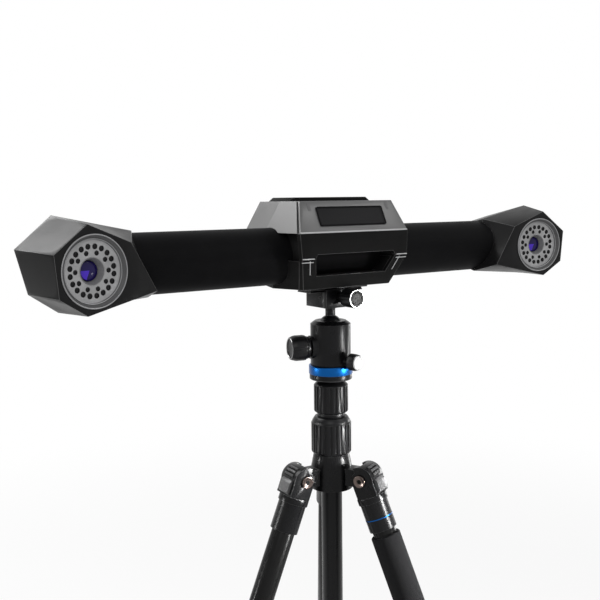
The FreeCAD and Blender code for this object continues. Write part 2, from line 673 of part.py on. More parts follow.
def face_zone(label, deep, low, side):
    """The slice of space within a depth of the hub's front or rear faces."""
    far = "%s(dim.hub_crease_y + 20)" % side
    faces = (("low", "-dim.hub_low_z"), ("crease", "-dim.hub_crease_z"),
             ("ridge", "dim.hub_ridge_z"), ("top", "dim.hub_top_z"))
    inner = [("%s(dim.hub_%s_y - %s)" % (side, name, deep), level)
             for name, level in faces[low:]]
    floor = inner[0][1]
    corners = [(far, floor)] + inner + [(far, inner[-1][1])]
    reach = "(dim.hub_ridge_nose + 20)"
    return prism(label, "YZ_Plane", corners, "-" + reach, "2 * " + reach)


def make_hub():
    form = hub_form()
    reach = "dim.hub_ridge_nose + 20"
    side = "dim.hub_crease_y + 20"
    bore = on_axis(rod("tube_bore", "dim.tube_r + dim.fit_gap", "2 * (%s)" % reach),
                   "-(%s)" % reach)
    slot = prism("slot_space", "XZ_Plane", [
        ("-dim.slot_low_x", "-dim.slot_low_z"), ("dim.slot_low_x", "-dim.slot_low_z"),
        ("dim.slot_side_x", "-dim.slot_side_z"), ("dim.slot_top_x", "dim.slot_top_z"),
        ("-dim.slot_top_x", "dim.slot_top_z"), ("-dim.slot_side_x", "-dim.slot_side_z")],
        "0", side)
    front = face_zone("front_zone", "dim.frame_t", 0, "-")
    rear = face_zone("rear_zone", "dim.frame_t", 0, "")
    skin = face_zone("skin_zone", "dim.cover_t", 2, "-")
    upper = block("upper_space", ("-(%s)" % reach, reach), ("-(%s)" % side, side),
                  ("dim.hub_ridge_z", "dim.hub_top_z + 10"))
    lower = block("lower_space", ("-(%s)" % reach, reach), ("-(%s)" % side, side),
                  ("-dim.hub_low_z - 10", "-dim.shell_z"))
    panel = make_panel()
    sockets = socket_space()
    keep(on_bar(cut("front_cover_piece", overlap("skin_form", form, skin), [panel])),
         "hub_front_cover")
    keep(on_bar(cut("front_frame_piece", overlap("front_form_hub", form, front),
                    [skin, slot])), "hub_front_frame")
    rear_low = overlap("rear_form_hub", form, rear)
    keep(on_bar(cut("rear_frame_piece", rear_low, [upper, sockets])), "hub_rear_frame")
    hollow = lofted("cover_hollow", "XY_Plane", [
        (("dim.hub_ridge_z - 1",), hub_level("ridge", "dim.hub_wall", "dim.frame_t + 1")),
        (("dim.hub_top_z - dim.hub_wall",),
         hub_level("top", "dim.hub_wall", "dim.frame_t + 1"))])
    keep(on_bar(cut("cover_piece", overlap("cover_form", form, upper),
                    [front, hollow, bore])), "hub_cover")
    make_core(bore, slot, sockets)
    screw_hole = place(rod("screw_hole", "dim.screw_r + dim.fit_gap",
                           "dim.screw_bite + dim.slide_gap + 10"),
                       "0", "-dim.bar_back", "-dim.hub_low_z - 10")
    keep(on_bar(cut("lower_shell_piece", overlap("lower_form", form, lower),
                    [front, rear, bore, slot, screw_hole])), "hub_lower_shell")
    make_lid()
    make_sockets()


def on_axis(thing, start):
    """Lay a thing that stands on the origin along the crossbar."""
    return place(thing, start, pitch="90")


def make_core(bore, slot, sockets):
    """The block that clamps the tube and carries the covers."""
    half = "dim.hub_ridge_y - dim.frame_t - dim.fit_gap"
    step = "dim.hub_ridge_z - dim.slide_gap"
    low = block("core_low", ("-dim.core_x", "dim.core_x"), ("-(%s)" % half, half),
                ("-dim.shell_z", step))
    top = block("core_top", ("-dim.core_top_x", "dim.core_top_x"),
                ("-dim.core_top_y", "dim.core_top_y"), (step, "dim.core_top_z"))
    core = cut("core_piece", join("core_form", [low, top]), [bore, slot, sockets])
    keep(on_bar(core), "hub_core")


def make_panel():
    """The bare plate on the hub's sloping front, made where it lies."""
    panel = block("panel_form", ("-dim.panel_x", "dim.panel_x"),
                  ("-dim.panel_proud", "dim.panel_t - dim.panel_proud"), ("0", "dim.panel_tall"))
    place(panel, "-dim.panel_x",
          "-dim.hub_ridge_y + dim.panel_start * sin(at.slope) - dim.panel_proud * cos(at.slope)",
          "dim.hub_ridge_z + dim.panel_start * cos(at.slope) + dim.panel_proud * sin(at.slope)",
          roll="-at.slope")
    keep(on_bar(group("front_panel", [panel])))
    return panel


def make_lid():
    lid = prism("hub_top_plate", "XZ_Plane", [
        ("-dim.lid_x", "0"), ("dim.lid_x", "0"),
        ("dim.lid_x - dim.lid_bevel", "dim.lid_t"),
        ("-dim.lid_x + dim.lid_bevel", "dim.lid_t")],
        "-dim.lid_rear", "dim.lid_rear + dim.lid_front")
    keep(place(lid, "0", "dim.bar_back", "at.bar_z + dim.hub_top_z"))


def socket_space():
    outer = "dim.hub_ridge_y + dim.socket_proud"
    return block("socket_space", ("-dim.socket_plate_x", "dim.socket_plate_x"),
                 ("%s - dim.socket_plate_deep" % outer, outer),
                 ("dim.socket_plate_low", "dim.socket_plate_low + dim.socket_plate_tall"))


def make_sockets():
    """The block with the power and data sockets, at the hub's rear."""
    outer = "dim.hub_ridge_y + dim.socket_proud"
    form = block("socket_form", ("-dim.socket_plate_x", "dim.socket_plate_x"),
                 ("%s - dim.socket_plate_deep" % outer, outer),
                 ("dim.socket_plate_low", "dim.socket_plate_low + dim.socket_plate_tall"))
    holes = []
    for side in ("-", ""):
        hole = rod("socket_hole", "dim.socket_r", "dim.socket_deep + 5")
        holes.append(place(hole, side + "dim.socket_pitch / 2",
                           "%s - dim.socket_deep" % outer,
                           "dim.socket_plate_low + dim.socket_plate_tall / 2", roll="-90"))
    keep(on_bar(cut("sockets_piece", form, holes)), "rear_sockets")


# Quick plate, clamp and ball
def make_quick_plate():
    upper = block("plate_form", ("-dim.plate_x", "dim.plate_x"), ("-dim.plate_y", "dim.plate_y"),
                  ("at.hub_z - dim.plate_t", "at.hub_z"))
    tail = prism("tail_form", "YZ_Plane", [
        ("-dim.tail_y", "at.tail_z"), ("dim.tail_y", "at.tail_z"),
        ("dim.tail_y", "at.tail_z + dim.tail_foot"),
        ("dim.tail_neck_y", "at.tail_z + dim.tail_t"),
        ("-dim.tail_neck_y", "at.tail_z + dim.tail_t"),
        ("-dim.tail_y", "at.tail_z + dim.tail_foot")], "-dim.tail_x", "2 * dim.tail_x")
    well = place(rod("head_well", "dim.screw_head_r + dim.slide_gap", "dim.screw_head_t"),
                 z="at.tail_z")
    hole = place(rod("plate_hole", "dim.screw_r + dim.fit_gap", "dim.tail_t + dim.plate_t"),
                 z="at.tail_z")
    keep(cut("quick_plate", join("plate_join", [upper, tail]), [join("well", [well, hole])]))
    screw = turned("mount_screw", [
        ("0", "0"), ("dim.screw_head_r", "0"), ("dim.screw_head_r", "dim.screw_head_t"),
        ("dim.screw_r", "dim.screw_head_t"),
        ("dim.screw_r", "dim.tail_t + dim.plate_t + dim.screw_bite"),
        ("0", "dim.tail_t + dim.plate_t + dim.screw_bite")])
    keep(place(screw, z="at.tail_z"))


def make_clamp():
    lip = "at.tail_z + dim.tail_t - dim.slide_gap"
    floor = "at.tail_z - dim.slide_gap"
    shut = "dim.tail_y + dim.fit_gap"
    lean = "(dim.tail_y - dim.tail_neck_y) / (dim.tail_t - dim.tail_foot)"
    neck = "dim.tail_neck_y + dim.slide_gap * (1 + %s)" % lean
    foot = "at.tail_z + dim.tail_foot"
    body = prism("clamp_form", "YZ_Plane", [
        ("-(%s) + dim.slide_gap" % shut, "at.clamp_z"), ("dim.clamp_y", "at.clamp_z"),
        ("dim.clamp_y", lip), (neck, lip), (shut, foot), (shut, floor),
        ("-(%s) + dim.slide_gap" % shut, floor)], "-dim.clamp_x", "2 * dim.clamp_x")
    jaw = prism("jaw_form", "YZ_Plane", [
        ("-dim.clamp_y", "at.clamp_z"), ("-(%s)" % shut, "at.clamp_z"),
        ("-(%s)" % shut, foot), ("-(%s)" % neck, lip), ("-dim.clamp_y", lip)],
        "-dim.clamp_x", "2 * dim.clamp_x")
    bore = rod("knob_bore", "dim.knob_stud_r + dim.fit_gap", "2 * dim.clamp_y")
    place(bore, "0", "dim.clamp_y / 2", "at.clamp_z + dim.clamp_floor / 2 + dim.plate_t", roll="90")
    keep(cut("clamp_body", body, [bore]))
    keep(cut("clamp_jaw", jaw, [bore]))
    knob = turned("clamp_knob", [
        ("0", "-dim.clamp_y"), ("dim.knob_stud_r", "-dim.clamp_y"), ("dim.knob_stud_r", "0"),
        ("dim.knob_barrel_r", "0"), ("dim.knob_barrel_r", "dim.knob_barrel_len"),
        ("dim.knob_r - dim.knob_edge", "dim.knob_barrel_len"),
        ("dim.knob_r", "dim.knob_barrel_len + dim.knob_edge"),
        ("dim.knob_r", "dim.knob_barrel_len + dim.knob_len - dim.knob_edge"),
        ("dim.knob_r - dim.knob_edge", "dim.knob_barrel_len + dim.knob_len"),
        ("0", "dim.knob_barrel_len + dim.knob_len")])
    keep(place(knob, "0", "-dim.clamp_y - dim.slide_gap",
               "at.clamp_z + dim.clamp_floor / 2 + dim.plate_t", roll="90"))


def make_ball():
    round_part = place(ball("ball_form", "dim.ball_r"), z="at.ball_z")
    stem = place(rod("stem_form", "dim.stem_r", "at.clamp_z - at.ball_z"), z="at.ball_z")
    boss = place(rod("boss_form", "dim.stem_boss_r", "dim.stem_boss_t"),
                 z="at.clamp_z - dim.stem_boss_t")
    keep(join("ball_stem", [round_part, stem, boss]))


def outwards(thing, reach, height, turn):
    """Lay a thing that stands on the origin so that it points away from the column."""
    return place(thing, "(%s) * cos(%s)" % (reach, turn), "(%s) * sin(%s)" % (reach, turn),
                 height, turn, "90")


def make_housing():
    top = "at.housing_z + dim.housing_len"
    form = turned("housing_form", [
        ("0", "at.housing_z"), ("dim.housing_r", "at.housing_z"),
        ("dim.housing_r", "%s - dim.housing_edge" % top), ("dim.housing_edge_r", top),
        ("0", top)])
    parts = [form]
    holes = [place(ball("ball_space", "dim.ball_r + dim.ball_gap"), z="at.ball_z"),
             place(rod("spindle_bore", "dim.spindle_r + dim.fit_gap",
                       "dim.spindle_len + dim.slide_gap"), z="at.housing_z - dim.slide_gap")]
    for name in ("main", "pan"):
        level = "at.housing_z + dim.%s_knob_z" % name
        turn = "dim.%s_knob_angle" % name
        boss = rod(name + "_boss", "dim.%s_boss_r" % name,
                   "dim.%s_boss_reach - dim.stud_end" % name)
        parts.append(outwards(boss, "dim.stud_end", level, turn))
        hole = rod(name + "_stud_bore", "dim.%s_stud_r + dim.fit_gap" % name,
                   "dim.%s_boss_reach - dim.stud_end + 1" % name)
        holes.append(outwards(hole, "dim.stud_end - dim.slide_gap", level, turn))
    keep(cut("ball_housing", join("housing_join", parts), holes))


def make_lock_knobs():
    for name in ("main", "pan"):
        radius = "dim.%s_knob_r" % name
        stud = "dim.%s_stud_r" % name
        start = "dim.%s_boss_reach + dim.slide_gap - dim.stud_end" % name
        end = "%s + dim.%s_knob_len" % (start, name)
        knob = turned(name + "_lock_knob", [
            ("0", "0"), (stud, "0"), (stud, start), ("%s * 0.8" % radius, start),
            ("%s - 1" % radius, "%s + 5" % start), (radius, "%s + 7" % start),
            (radius, "%s - 1.5" % end), ("%s - 1.5" % radius, end),
            ("%s * 0.7" % radius, end), ("%s * 0.5" % radius, "%s - 2" % end),
            ("0", "%s - 2" % end)])
        keep(outwards(knob, "dim.stud_end", "at.housing_z + dim.%s_knob_z" % name,
                      "dim.%s_knob_angle" % name))


def make_pan_base():
    ring_top = "at.ring_z + dim.ring_t"
    seat = "dim.ring_in_r - dim.fit_gap"
    base = turned("pan_base", [
        ("0", "at.base_z"), ("dim.base_r - 1", "at.base_z"), ("dim.base_r", "at.base_z + 1"),
        ("dim.base_r", "at.ring_z"), (seat, "at.ring_z"), (seat, ring_top),
        ("dim.spindle_r", ring_top), ("dim.spindle_r", "%s + dim.spindle_len" % ring_top),
        ("0", "%s + dim.spindle_len" % ring_top)])
    keep(base)
    ring = turned("pan_ring", [
        ("dim.ring_in_r", "at.ring_z"), ("dim.ring_r", "at.ring_z"),
        ("dim.ring_r", "%s - 1" % ring_top), ("dim.ring_r - 1", ring_top),
        ("dim.ring_in_r", ring_top)])
    keep(ring)


# Centre column with its two twist locks
def make_columns():
    inside = "dim.inner_r - dim.column_wall"
    low = "at.flange_z - dim.inner_len"
    keep(turned("inner_column", [
        (inside, low), ("dim.inner_r", low), ("dim.inner_r", "at.flange_z"),
        ("dim.neck_r", "at.flange_z"), ("dim.neck_r", "at.base_z"), (inside, "at.base_z")]))
    bore = "dim.inner_r + dim.slide_gap"
    keep(turned("outer_column", [
        (bore, "at.outer_low"), ("dim.outer_r", "at.outer_low"), ("dim.outer_r", "at.stop_z"),
        ("dim.ring_stop_r", "at.stop_z"), ("dim.ring_stop_r", "at.stop_z + dim.ring_stop_t"),
        ("dim.outer_r", "at.stop_z + dim.ring_stop_t"), ("dim.outer_r", "at.outer_top"),
        (bore, "at.outer_top")]))
    twist_lock("upper_column_lock", "up", "at.up_lock_z", bore, "dim.outer_r + dim.slide_gap",
               "at.outer_top + dim.slide_gap")
    twist_lock("lower_column_lock", "low", "at.low_lock_z", "dim.outer_r + dim.slide_gap",
               "dim.crown_neck_r + dim.slide_gap", "at.neck_top + dim.slide_gap")


def twist_lock(label, name, foot, bore, well, roof):
    """A grip collar: a narrow bore under a wider well, with sloping shoulders."""
    size_of = "dim.lock_%s_" % name
    top = "%s + %slen" % (foot, size_of)
    keep(turned(label, [
        (well, foot), (size_of + "low_r", foot), (size_of + "r", "%s + %sedge" % (foot, size_of)),
        (size_of + "r", "%s - %scone" % (top, size_of)), (size_of + "top_r", top),
        (bore, top), (bore, roof), (well, roof)]))


def make_crown():
    foot = "at.disc_z - dim.crown_disc"
    form = turned("crown_form", [
        ("0", foot), ("dim.crown_low_r", foot), ("dim.crown_low_r", "at.disc_z"),
        ("dim.crown_top_r", "at.cone_z"), ("dim.crown_neck_r", "at.cone_z"),
        ("dim.crown_neck_r", "at.neck_top"), ("0", "at.neck_top")])
    parts = [form]
    holes = [place(rod("column_bore", "dim.outer_r + dim.slide_gap", "at.neck_top"), z="0")]
    for turn in leg_turns():
        arm = block("arm_form", ("0", "dim.pivot_r"), ("-dim.lug_w / 2", "dim.lug_w / 2"),
                    ("0", "2 * dim.lug_r"))
        place(arm, "dim.lug_w / 2 * sin(%s)" % turn, "-dim.lug_w / 2 * cos(%s)" % turn,
              "at.pivot_z - dim.lug_r", turn)
        eye = rod("eye_form", "dim.lug_r", "dim.lug_w")
        parts += [arm, across_pivot(eye, "dim.lug_w", turn)]
        hole = rod("bolt_hole", "dim.bolt_r + dim.fit_gap", "dim.lug_w + 2")
        holes.append(across_pivot(hole, "dim.lug_w + 2", turn))
    keep(cut("crown", join("crown_join", parts), holes))


def across_pivot(thing, length, turn):
    """Centre a standing rod on a leg's pivot, along the pivot's axis."""
    x = "dim.pivot_r * cos(%s) + (%s) / 2 * sin(%s)" % (turn, length, turn)
    y = "dim.pivot_r * sin(%s) - (%s) / 2 * cos(%s)" % (turn, length, turn)
    return place(thing, x, y, "at.pivot_z", turn, "0", "-90")


def leg_turns():
    return ["(dim.leg_angle + %d)" % (120 * number) for number in range(3)]


def make_bolts():
    bolts = []
    whole = "dim.casting_w + 2 * dim.slide_gap"
    for turn in leg_turns():
        shank = across_pivot(rod("bolt_shank", "dim.bolt_r", whole), whole, turn)
        long = "%s + 2 * dim.bolt_head_t" % whole
        heads = cut("bolt_heads", across_pivot(rod("bolt_head", "dim.bolt_head_r", long), long,
                                               turn),
                    [across_pivot(rod("head_space", "dim.bolt_head_r + 1", whole), whole, turn)])
        bolts.append(join("pivot_bolt", [shank, heads]))
    keep(group("pivot_bolts", bolts))


def make_hook():
    cap = turned("hook_cap", [
        ("0", "at.outer_low - dim.hook_cap_t"),
        ("dim.outer_r - 2", "at.outer_low - dim.hook_cap_t"),
        ("dim.outer_r", "at.outer_low - dim.hook_cap_t + 2"), ("dim.outer_r", "at.outer_low"),
        ("0", "at.outer_low")])
    eye_z = "at.outer_low - dim.hook_cap_t - dim.hook_drop"
    tang = block("hook_tang", ("-dim.hook_w / 2", "dim.hook_w / 2"),
                 ("-dim.hook_t / 2", "dim.hook_t / 2"),
                 (eye_z, "at.outer_low - dim.hook_cap_t"))
    eye = place(rod("hook_round", "dim.hook_w / 2", "dim.hook_t"), "0", "dim.hook_t / 2", eye_z,
                roll="90")
    hole = place(rod("hook_hole", "dim.hook_r", "dim.hook_t + 2"), "0", "dim.hook_t / 2 + 1",
                 eye_z, roll="90")
    keep(cut("column_hook", join("hook_join", [cap, tang, eye]), [hole]))


# Legs: the pivot is the origin, +X points away from the column and -Z runs down the leg
def on_leg(thing, turn):
    return place(thing, "dim.pivot_r * cos(%s)" % turn, "dim.pivot_r * sin(%s)" % turn,
                 "at.pivot_z", turn, "-dim.leg_spread_angle")


def lying(label, radius, width):
    """A rod across the leg, centred on the pivot."""
    return place(rod(label, radius, width), "0", "(%s) / 2" % width, "0", roll="90")


def make_casting(name, turn):
    half = "dim.casting_w / 2"
    drum = overlap("drum", lying("drum_round", "dim.casting_r", "dim.casting_w"),
                   block("drum_side", ("-4", "dim.casting_r"), ("-(%s)" % half, half),
                         ("-dim.casting_r", "dim.casting_r")))
    eye = lying("eye", "dim.eye_r", "dim.casting_w")
    cheeks = block("cheeks", ("-dim.eye_r", "dim.casting_r - 1"), ("-(%s)" % half, half),
                   ("-dim.casting_neck", "0"))
    neck = place(rod("neck", "dim.casting_neck_r", "dim.sleeve_start - dim.casting_neck"),
                 z="-dim.sleeve_start")
    sleeve = place(rod("sleeve", "dim.sleeve_r", "dim.sleeve_end - dim.sleeve_start"),
                   z="-dim.sleeve_end")
    slot_w = "dim.lug_w / 2 + dim.fork_gap"
    corner = "dim.lug_r * sin(dim.leg_spread_angle) + dim.fork_gap"
    arm_space = block("arm_space", ("-3 * dim.lug_r", corner), ("-(%s)" % slot_w, slot_w),
                      ("-dim.lug_r - dim.fork_gap", "3 * dim.lug_r"))
    eye_space = lying("eye_space", "dim.lug_r + dim.fork_gap", "2 * (%s)" % slot_w)
    bolt_space = lying("bolt_space", "dim.bolt_r + dim.fit_gap", "dim.casting_w + 2")
    tube_space = place(rod("tube_space", "dim.leg_r + dim.fit_gap",
                           "dim.sleeve_end - dim.leg_top"), z="-dim.sleeve_end")
    tab_half = "dim.tab_w / 2 + dim.slide_gap"
    tab_space = block("tab_space", ("dim.tab_seat - dim.slide_gap", "dim.casting_r + 5"),
                      ("-(%s)" % tab_half, tab_half),
                      ("-dim.tab_top - dim.tab_tall - dim.slide_gap", "-dim.tab_top + dim.slide_gap"))
    casting = cut("casting_piece", join("casting_join", [drum, eye, cheeks, neck, sleeve]),
                  [join("casting_spaces", [arm_space, eye_space, bolt_space, tab_space]),
                   tube_space])
    keep(on_leg(casting, turn), "leg_casting_" + name)


def make_tab(name, turn):
    tab = prism("angle_tab_" + name, "XZ_Plane", [
        ("dim.tab_seat", "-dim.tab_top"), ("dim.tab_seat", "-dim.tab_top - dim.tab_tall"),
        ("dim.tab_seat + dim.tab_t - 3", "-dim.tab_top - dim.tab_tall"),
        ("dim.tab_seat + dim.tab_t", "-dim.tab_top - dim.tab_tall + 3"),
        ("dim.tab_seat + dim.tab_t", "-dim.tab_top - 5"),
        ("dim.tab_seat + dim.tab_t - 3", "-dim.tab_top")],
        "-dim.tab_w / 2", "dim.tab_w")
    keep(on_leg(tab, turn))


def make_leg_tubes(name, turn):
    inside = "dim.leg_r - dim.leg_wall"
    upper = turned("leg_upper_" + name, [
        (inside, "-at.leg_end"), ("dim.leg_r", "-at.leg_end"),
        ("dim.leg_r", "-dim.leg_top"), (inside, "-dim.leg_top")])
    keep(on_leg(upper, turn))
    well = "dim.leg_r + dim.slide_gap"
    bore = "dim.lower_r + dim.slide_gap"
    top = "-at.leg_end + dim.twist_over"
    foot = "-at.leg_end + dim.twist_over - dim.twist_len"
    lock = turned("leg_lock_" + name, [
        (bore, foot), ("dim.twist_r - dim.twist_edge", foot),
        ("dim.twist_r", "%s + dim.twist_edge" % foot), ("dim.twist_r", "%s - 2" % top),
        ("dim.twist_r - 2", top), (well, top), (well, "-at.leg_end - dim.slide_gap"),
        (bore, "-at.leg_end - dim.slide_gap")])
    keep(on_leg(lock, turn))
    hollow = "dim.lower_r - dim.leg_wall"
    bush = "%s - dim.slide_gap" % inside
    end = "-dim.leg_len - dim.foot_len + 2 * dim.foot_len - dim.foot_grip"
    lower = turned("leg_lower_" + name, [
        (hollow, end), ("dim.lower_r", end), ("dim.lower_r", "-at.lower_top - dim.bush_len"),
        (bush, "-at.lower_top - dim.bush_len"), (bush, "-at.lower_top"),
        (hollow, "-at.lower_top")])
    keep(on_leg(lower, turn))
    dome = place(ball("dome", "dim.foot_dome_r"), z="-dim.leg_len")
    shoe = place(cone("shoe", "dim.foot_dome_r", "dim.foot_r", "dim.foot_len"), z="-dim.leg_len")
    space = place(rod("shoe_space", "dim.lower_r + dim.fit_gap", "dim.foot_grip + 1"), z=end)
    foot_piece = cut("foot_piece", join("foot_join", [dome, shoe]), [space])
    keep(on_leg(foot_piece, turn), "leg_foot_" + name)


def make_foam(turn):
    start = "-dim.foam_start"
    low = "-at.foam_end"
    bore = "dim.leg_r + dim.fit_gap"
    foam = turned("foam_grip", [
        (bore, low), ("dim.foam_r - 2", low), ("dim.foam_r", "%s + 2" % low),
        ("dim.foam_r", "%s - 2" % start), ("dim.foam_r - 2", start), (bore, start)])
    keep(on_leg(foam, turn))


def make_legs():
    turns = dict(zip(("rear", "left", "front"), leg_turns()))
    for name, turn in turns.items():
        make_casting(name, turn)
        make_tab(name, turn)
        make_leg_tubes(name, turn)
    make_foam(turns["front"])


def check_model():
    """Stop when a feature failed or a node has no sound solid."""
    for item in doc.Objects:
        if "Invalid" in item.State or "Error" in item.State:
            raise RuntimeError("%s failed: %s" % (item.Name, item.State))
    for node in nodes:
        if node.Shape.isNull() or not node.Shape.isValid() or not node.Shape.Solids:
            raise RuntimeError("%s has no sound solid" % node.Label)


def write_nodes():
    os.makedirs("parts", exist_ok=True)
    for node in nodes:
        node.Shape.exportStep("parts/%s.step" % node.Label)
        print("%-22s %d solid(s) %10.1f mm3" % (
            node.Label, len(node.Shape.Solids), node.Shape.Volume))


make_crossbar()
make_heads()
make_hub()
make_quick_plate()
make_clamp()
make_ball()
make_housing()
make_lock_knobs()
make_pan_base()
make_columns()
make_crown()
make_bolts()
make_hook()
make_legs()
doc.recompute()
check_model()
write_nodes()
print("crossbar axis at z = %.2f" % float(at.get("bar_z")))
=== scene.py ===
"""Dresses the tracking scanner: rounded edges, lamps, lenses, grips, trim, finishes and stage."""
import json
import math

import bpy
from mathutils import Matrix, Vector


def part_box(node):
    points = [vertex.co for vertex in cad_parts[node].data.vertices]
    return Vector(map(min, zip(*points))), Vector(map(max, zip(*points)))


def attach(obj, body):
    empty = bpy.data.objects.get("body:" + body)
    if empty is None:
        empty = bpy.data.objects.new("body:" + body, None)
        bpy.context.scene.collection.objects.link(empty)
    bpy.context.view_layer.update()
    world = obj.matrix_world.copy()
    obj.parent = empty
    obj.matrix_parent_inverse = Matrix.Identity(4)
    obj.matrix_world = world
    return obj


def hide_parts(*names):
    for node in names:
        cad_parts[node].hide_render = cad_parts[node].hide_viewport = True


bl_info = {
    "name": "Tracking Scanner Dresser",
    "version": (1, 0, 0),
    "blender": (4, 5, 0),
    "location": "View3D > Sidebar > Scanner",
    "description": "Models the surface detail, finishes and studio of a crossbar scanner",
    "category": "Object",
}

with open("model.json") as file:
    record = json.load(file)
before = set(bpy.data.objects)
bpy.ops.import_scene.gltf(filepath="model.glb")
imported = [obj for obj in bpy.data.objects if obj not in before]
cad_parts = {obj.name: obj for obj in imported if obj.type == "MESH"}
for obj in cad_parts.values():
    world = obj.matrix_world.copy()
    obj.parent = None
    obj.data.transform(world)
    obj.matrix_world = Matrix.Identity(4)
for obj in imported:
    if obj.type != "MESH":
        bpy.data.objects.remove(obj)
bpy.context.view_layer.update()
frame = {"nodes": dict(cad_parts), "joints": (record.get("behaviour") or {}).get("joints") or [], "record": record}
MM = 0.001
BODY = "scanner"
LEGS = ("rear", "left", "front")
SIDES = ("left", "right")
QUARTER = math.pi / 2
# A stand-in's folds are shaded smooth up to the first angle, and rounded above the second
SOFT_FOLD = 28
SHARP_FOLD = 20
# Lean of the hub's front above its ridge, and below the grip slot
FRONT_LEAN = math.atan2(23.7, 48.3)
CHIN_LEAN = math.radians(26.7)


# Places read from the frame
def joint(name):
    """A joint of the frame by its name."""
    return next(item for item in frame["joints"] if item["name"] == name)


def middle(node):
    """Centre of a node's box."""
    low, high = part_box(node)
    return (Vector(low) + Vector(high)) / 2


def basis(z_axis, x_hint, origin):
    """Matrix of a place whose Z and X follow two directions."""
    z_axis = Vector(z_axis).normalized()
    y_axis = z_axis.cross(Vector(x_hint)).normalized()
    x_axis = y_axis.cross(z_axis)
    turn = Matrix((x_axis, y_axis, z_axis)).transposed().to_4x4()
    return Matrix.Translation(Vector(origin)) @ turn


def bar_place():
    """The crossbar's middle, with X along the bar, Y into the depth and Z up."""
    return Matrix.Translation(middle("crossbar_tube"))


def head_place(side, sizes):
    """A camera's face: X across, Y up and Z out of the face."""
    toe = sizes.toe_in if side == "left" else -sizes.toe_in
    turn = Matrix.Rotation(toe, 4, "Z")
    depth = turn @ Vector((0, 1, 0))
    back = (sizes.ring_depth - sizes.ring_proud) / 2
    origin = middle("bezel_ring_" + side) - depth * back
    return Matrix.Translation(origin) @ turn @ Matrix.Rotation(QUARTER, 4, "X")


def leg_place(name):
    """A leg's pivot: X away from the column, Z up the leg."""
    pull = joint("angle_tab_%s_pull" % name)["axis"]
    down = joint("leg_%s_extend" % name)["axis"]
    pivot = joint("leg_%s_fold" % name)["pos_m"]
    return basis(-Vector(down), pull, pivot)


def knob_place(joint_name):
    """A knob's place: its joint's centre, with the axis as Z."""
    turn = joint(joint_name)
    hint = Vector((0, 0, 1)).cross(Vector(turn["axis"]))
    return basis(turn["axis"], hint, turn["pos_m"])


# Modelling steps
def deselect():
    if bpy.context.object and bpy.context.object.mode != "OBJECT":
        bpy.ops.object.mode_set(mode="OBJECT")
    bpy.ops.object.select_all(action="DESELECT")


def pick(piece):
    """Make one piece the only selected and the active one."""
    deselect()
    piece.select_set(True)
    bpy.context.view_layer.objects.active = piece


def edit(piece):
    pick(piece)
    bpy.ops.object.mode_set(mode="EDIT")
    bpy.ops.mesh.select_all(action="SELECT")


def close_edit():
    bpy.ops.object.mode_set(mode="OBJECT")


def newest(name):
    """Name the primitive that was just added, with its place in its mesh."""
    piece = bpy.context.object
    piece.name = name
    piece.data.name = name
    bpy.ops.object.transform_apply(location=True, rotation=True, scale=True)
    return piece


def put(piece, place):
    """Move a piece that was modelled at the origin, with its place in its mesh."""
    pick(piece)
    piece.matrix_world = place
    bpy.ops.object.transform_apply(location=True, rotation=True, scale=True)
    return piece


def in_mm(rings):
    """Rings of radius and height, from millimetres to metres."""
    return [(radius * MM, height * MM) for radius, height in rings]


def smooth(piece, angle=32):
    pick(piece)
    bpy.ops.object.shade_smooth_by_angle(angle=math.radians(angle))
    return piece


def soften(piece, width, angle=32, slot=-1):
    """Round the sharp edges of a piece, with the material of a slot where one is given."""
    pick(piece)
    bevel = piece.modifiers.new("Edges", "BEVEL")
    bevel.material = slot
    bevel.limit_method = "ANGLE"
    bevel.angle_limit = math.radians(angle)
    bevel.width = width
    bevel.segments = 2
    bevel.use_clamp_overlap = True
    bpy.ops.object.modifier_apply(modifier=bevel.name)
    return piece


def tidy_normals(piece):
    edit(piece)
    bpy.ops.mesh.remove_doubles(threshold=1e-6)
    bpy.ops.mesh.normals_make_consistent(inside=False)
    close_edit()
    return piece


def turned(name, rings, vertices=96, closed=False):
    """A turned piece: a circle extruded and resized from ring to ring of radius and height.

    A closed one comes back to its first ring, so it is hollow along its axis.
    """
    first, height = rings[0]
    deselect()
    fill = "NOTHING" if closed else "NGON"
    bpy.ops.mesh.primitive_circle_add(vertices=vertices, radius=first, fill_type=fill,
                                      location=(0, 0, height))
    piece = newest(name)
    edit(piece)
    bpy.ops.mesh.select_mode(type="EDGE" if closed else "FACE")
    bpy.ops.mesh.select_all(action="SELECT")
    move = bpy.ops.mesh.extrude_edges_move if closed else bpy.ops.mesh.extrude_region_move
    radius = first
    for wider, level in rings[1:]:
        move(TRANSFORM_OT_translate={"value": (0, 0, level - height)})
        share = wider / radius
        bpy.ops.transform.resize(value=(share, share, 1), center_override=(0, 0, level))
        radius = wider
        height = level
    close_edit()
    return tidy_normals(piece)


def slab(name, width, depth, height, bevel=0.0):
    """A flat block round the origin, standing on z = 0, with rounded edges."""
    deselect()
    bpy.ops.mesh.primitive_cube_add(size=1, location=(0, 0, height / 2))
    bpy.context.object.scale = (width, depth, height)
    piece = newest(name)
    if bevel:
        soften(piece, bevel)
    return piece


def plaque(name, width, depth, height, corner, bevel):
    """A slab whose upright edges are rounded far more than the others."""
    piece = slab(name, width, depth, height)
    edit(piece)
    bpy.ops.mesh.select_mode(type="EDGE")
    close_edit()
    for edge in piece.data.edges:
        low, high = (piece.data.vertices[end].co for end in edge.vertices)
        edge.select = abs(low.z - high.z) > height / 2
    bpy.ops.object.mode_set(mode="EDIT")
    bpy.ops.mesh.bevel(offset=corner, segments=8, affect="EDGES")
    close_edit()
    return smooth(soften(piece, bevel, 50))


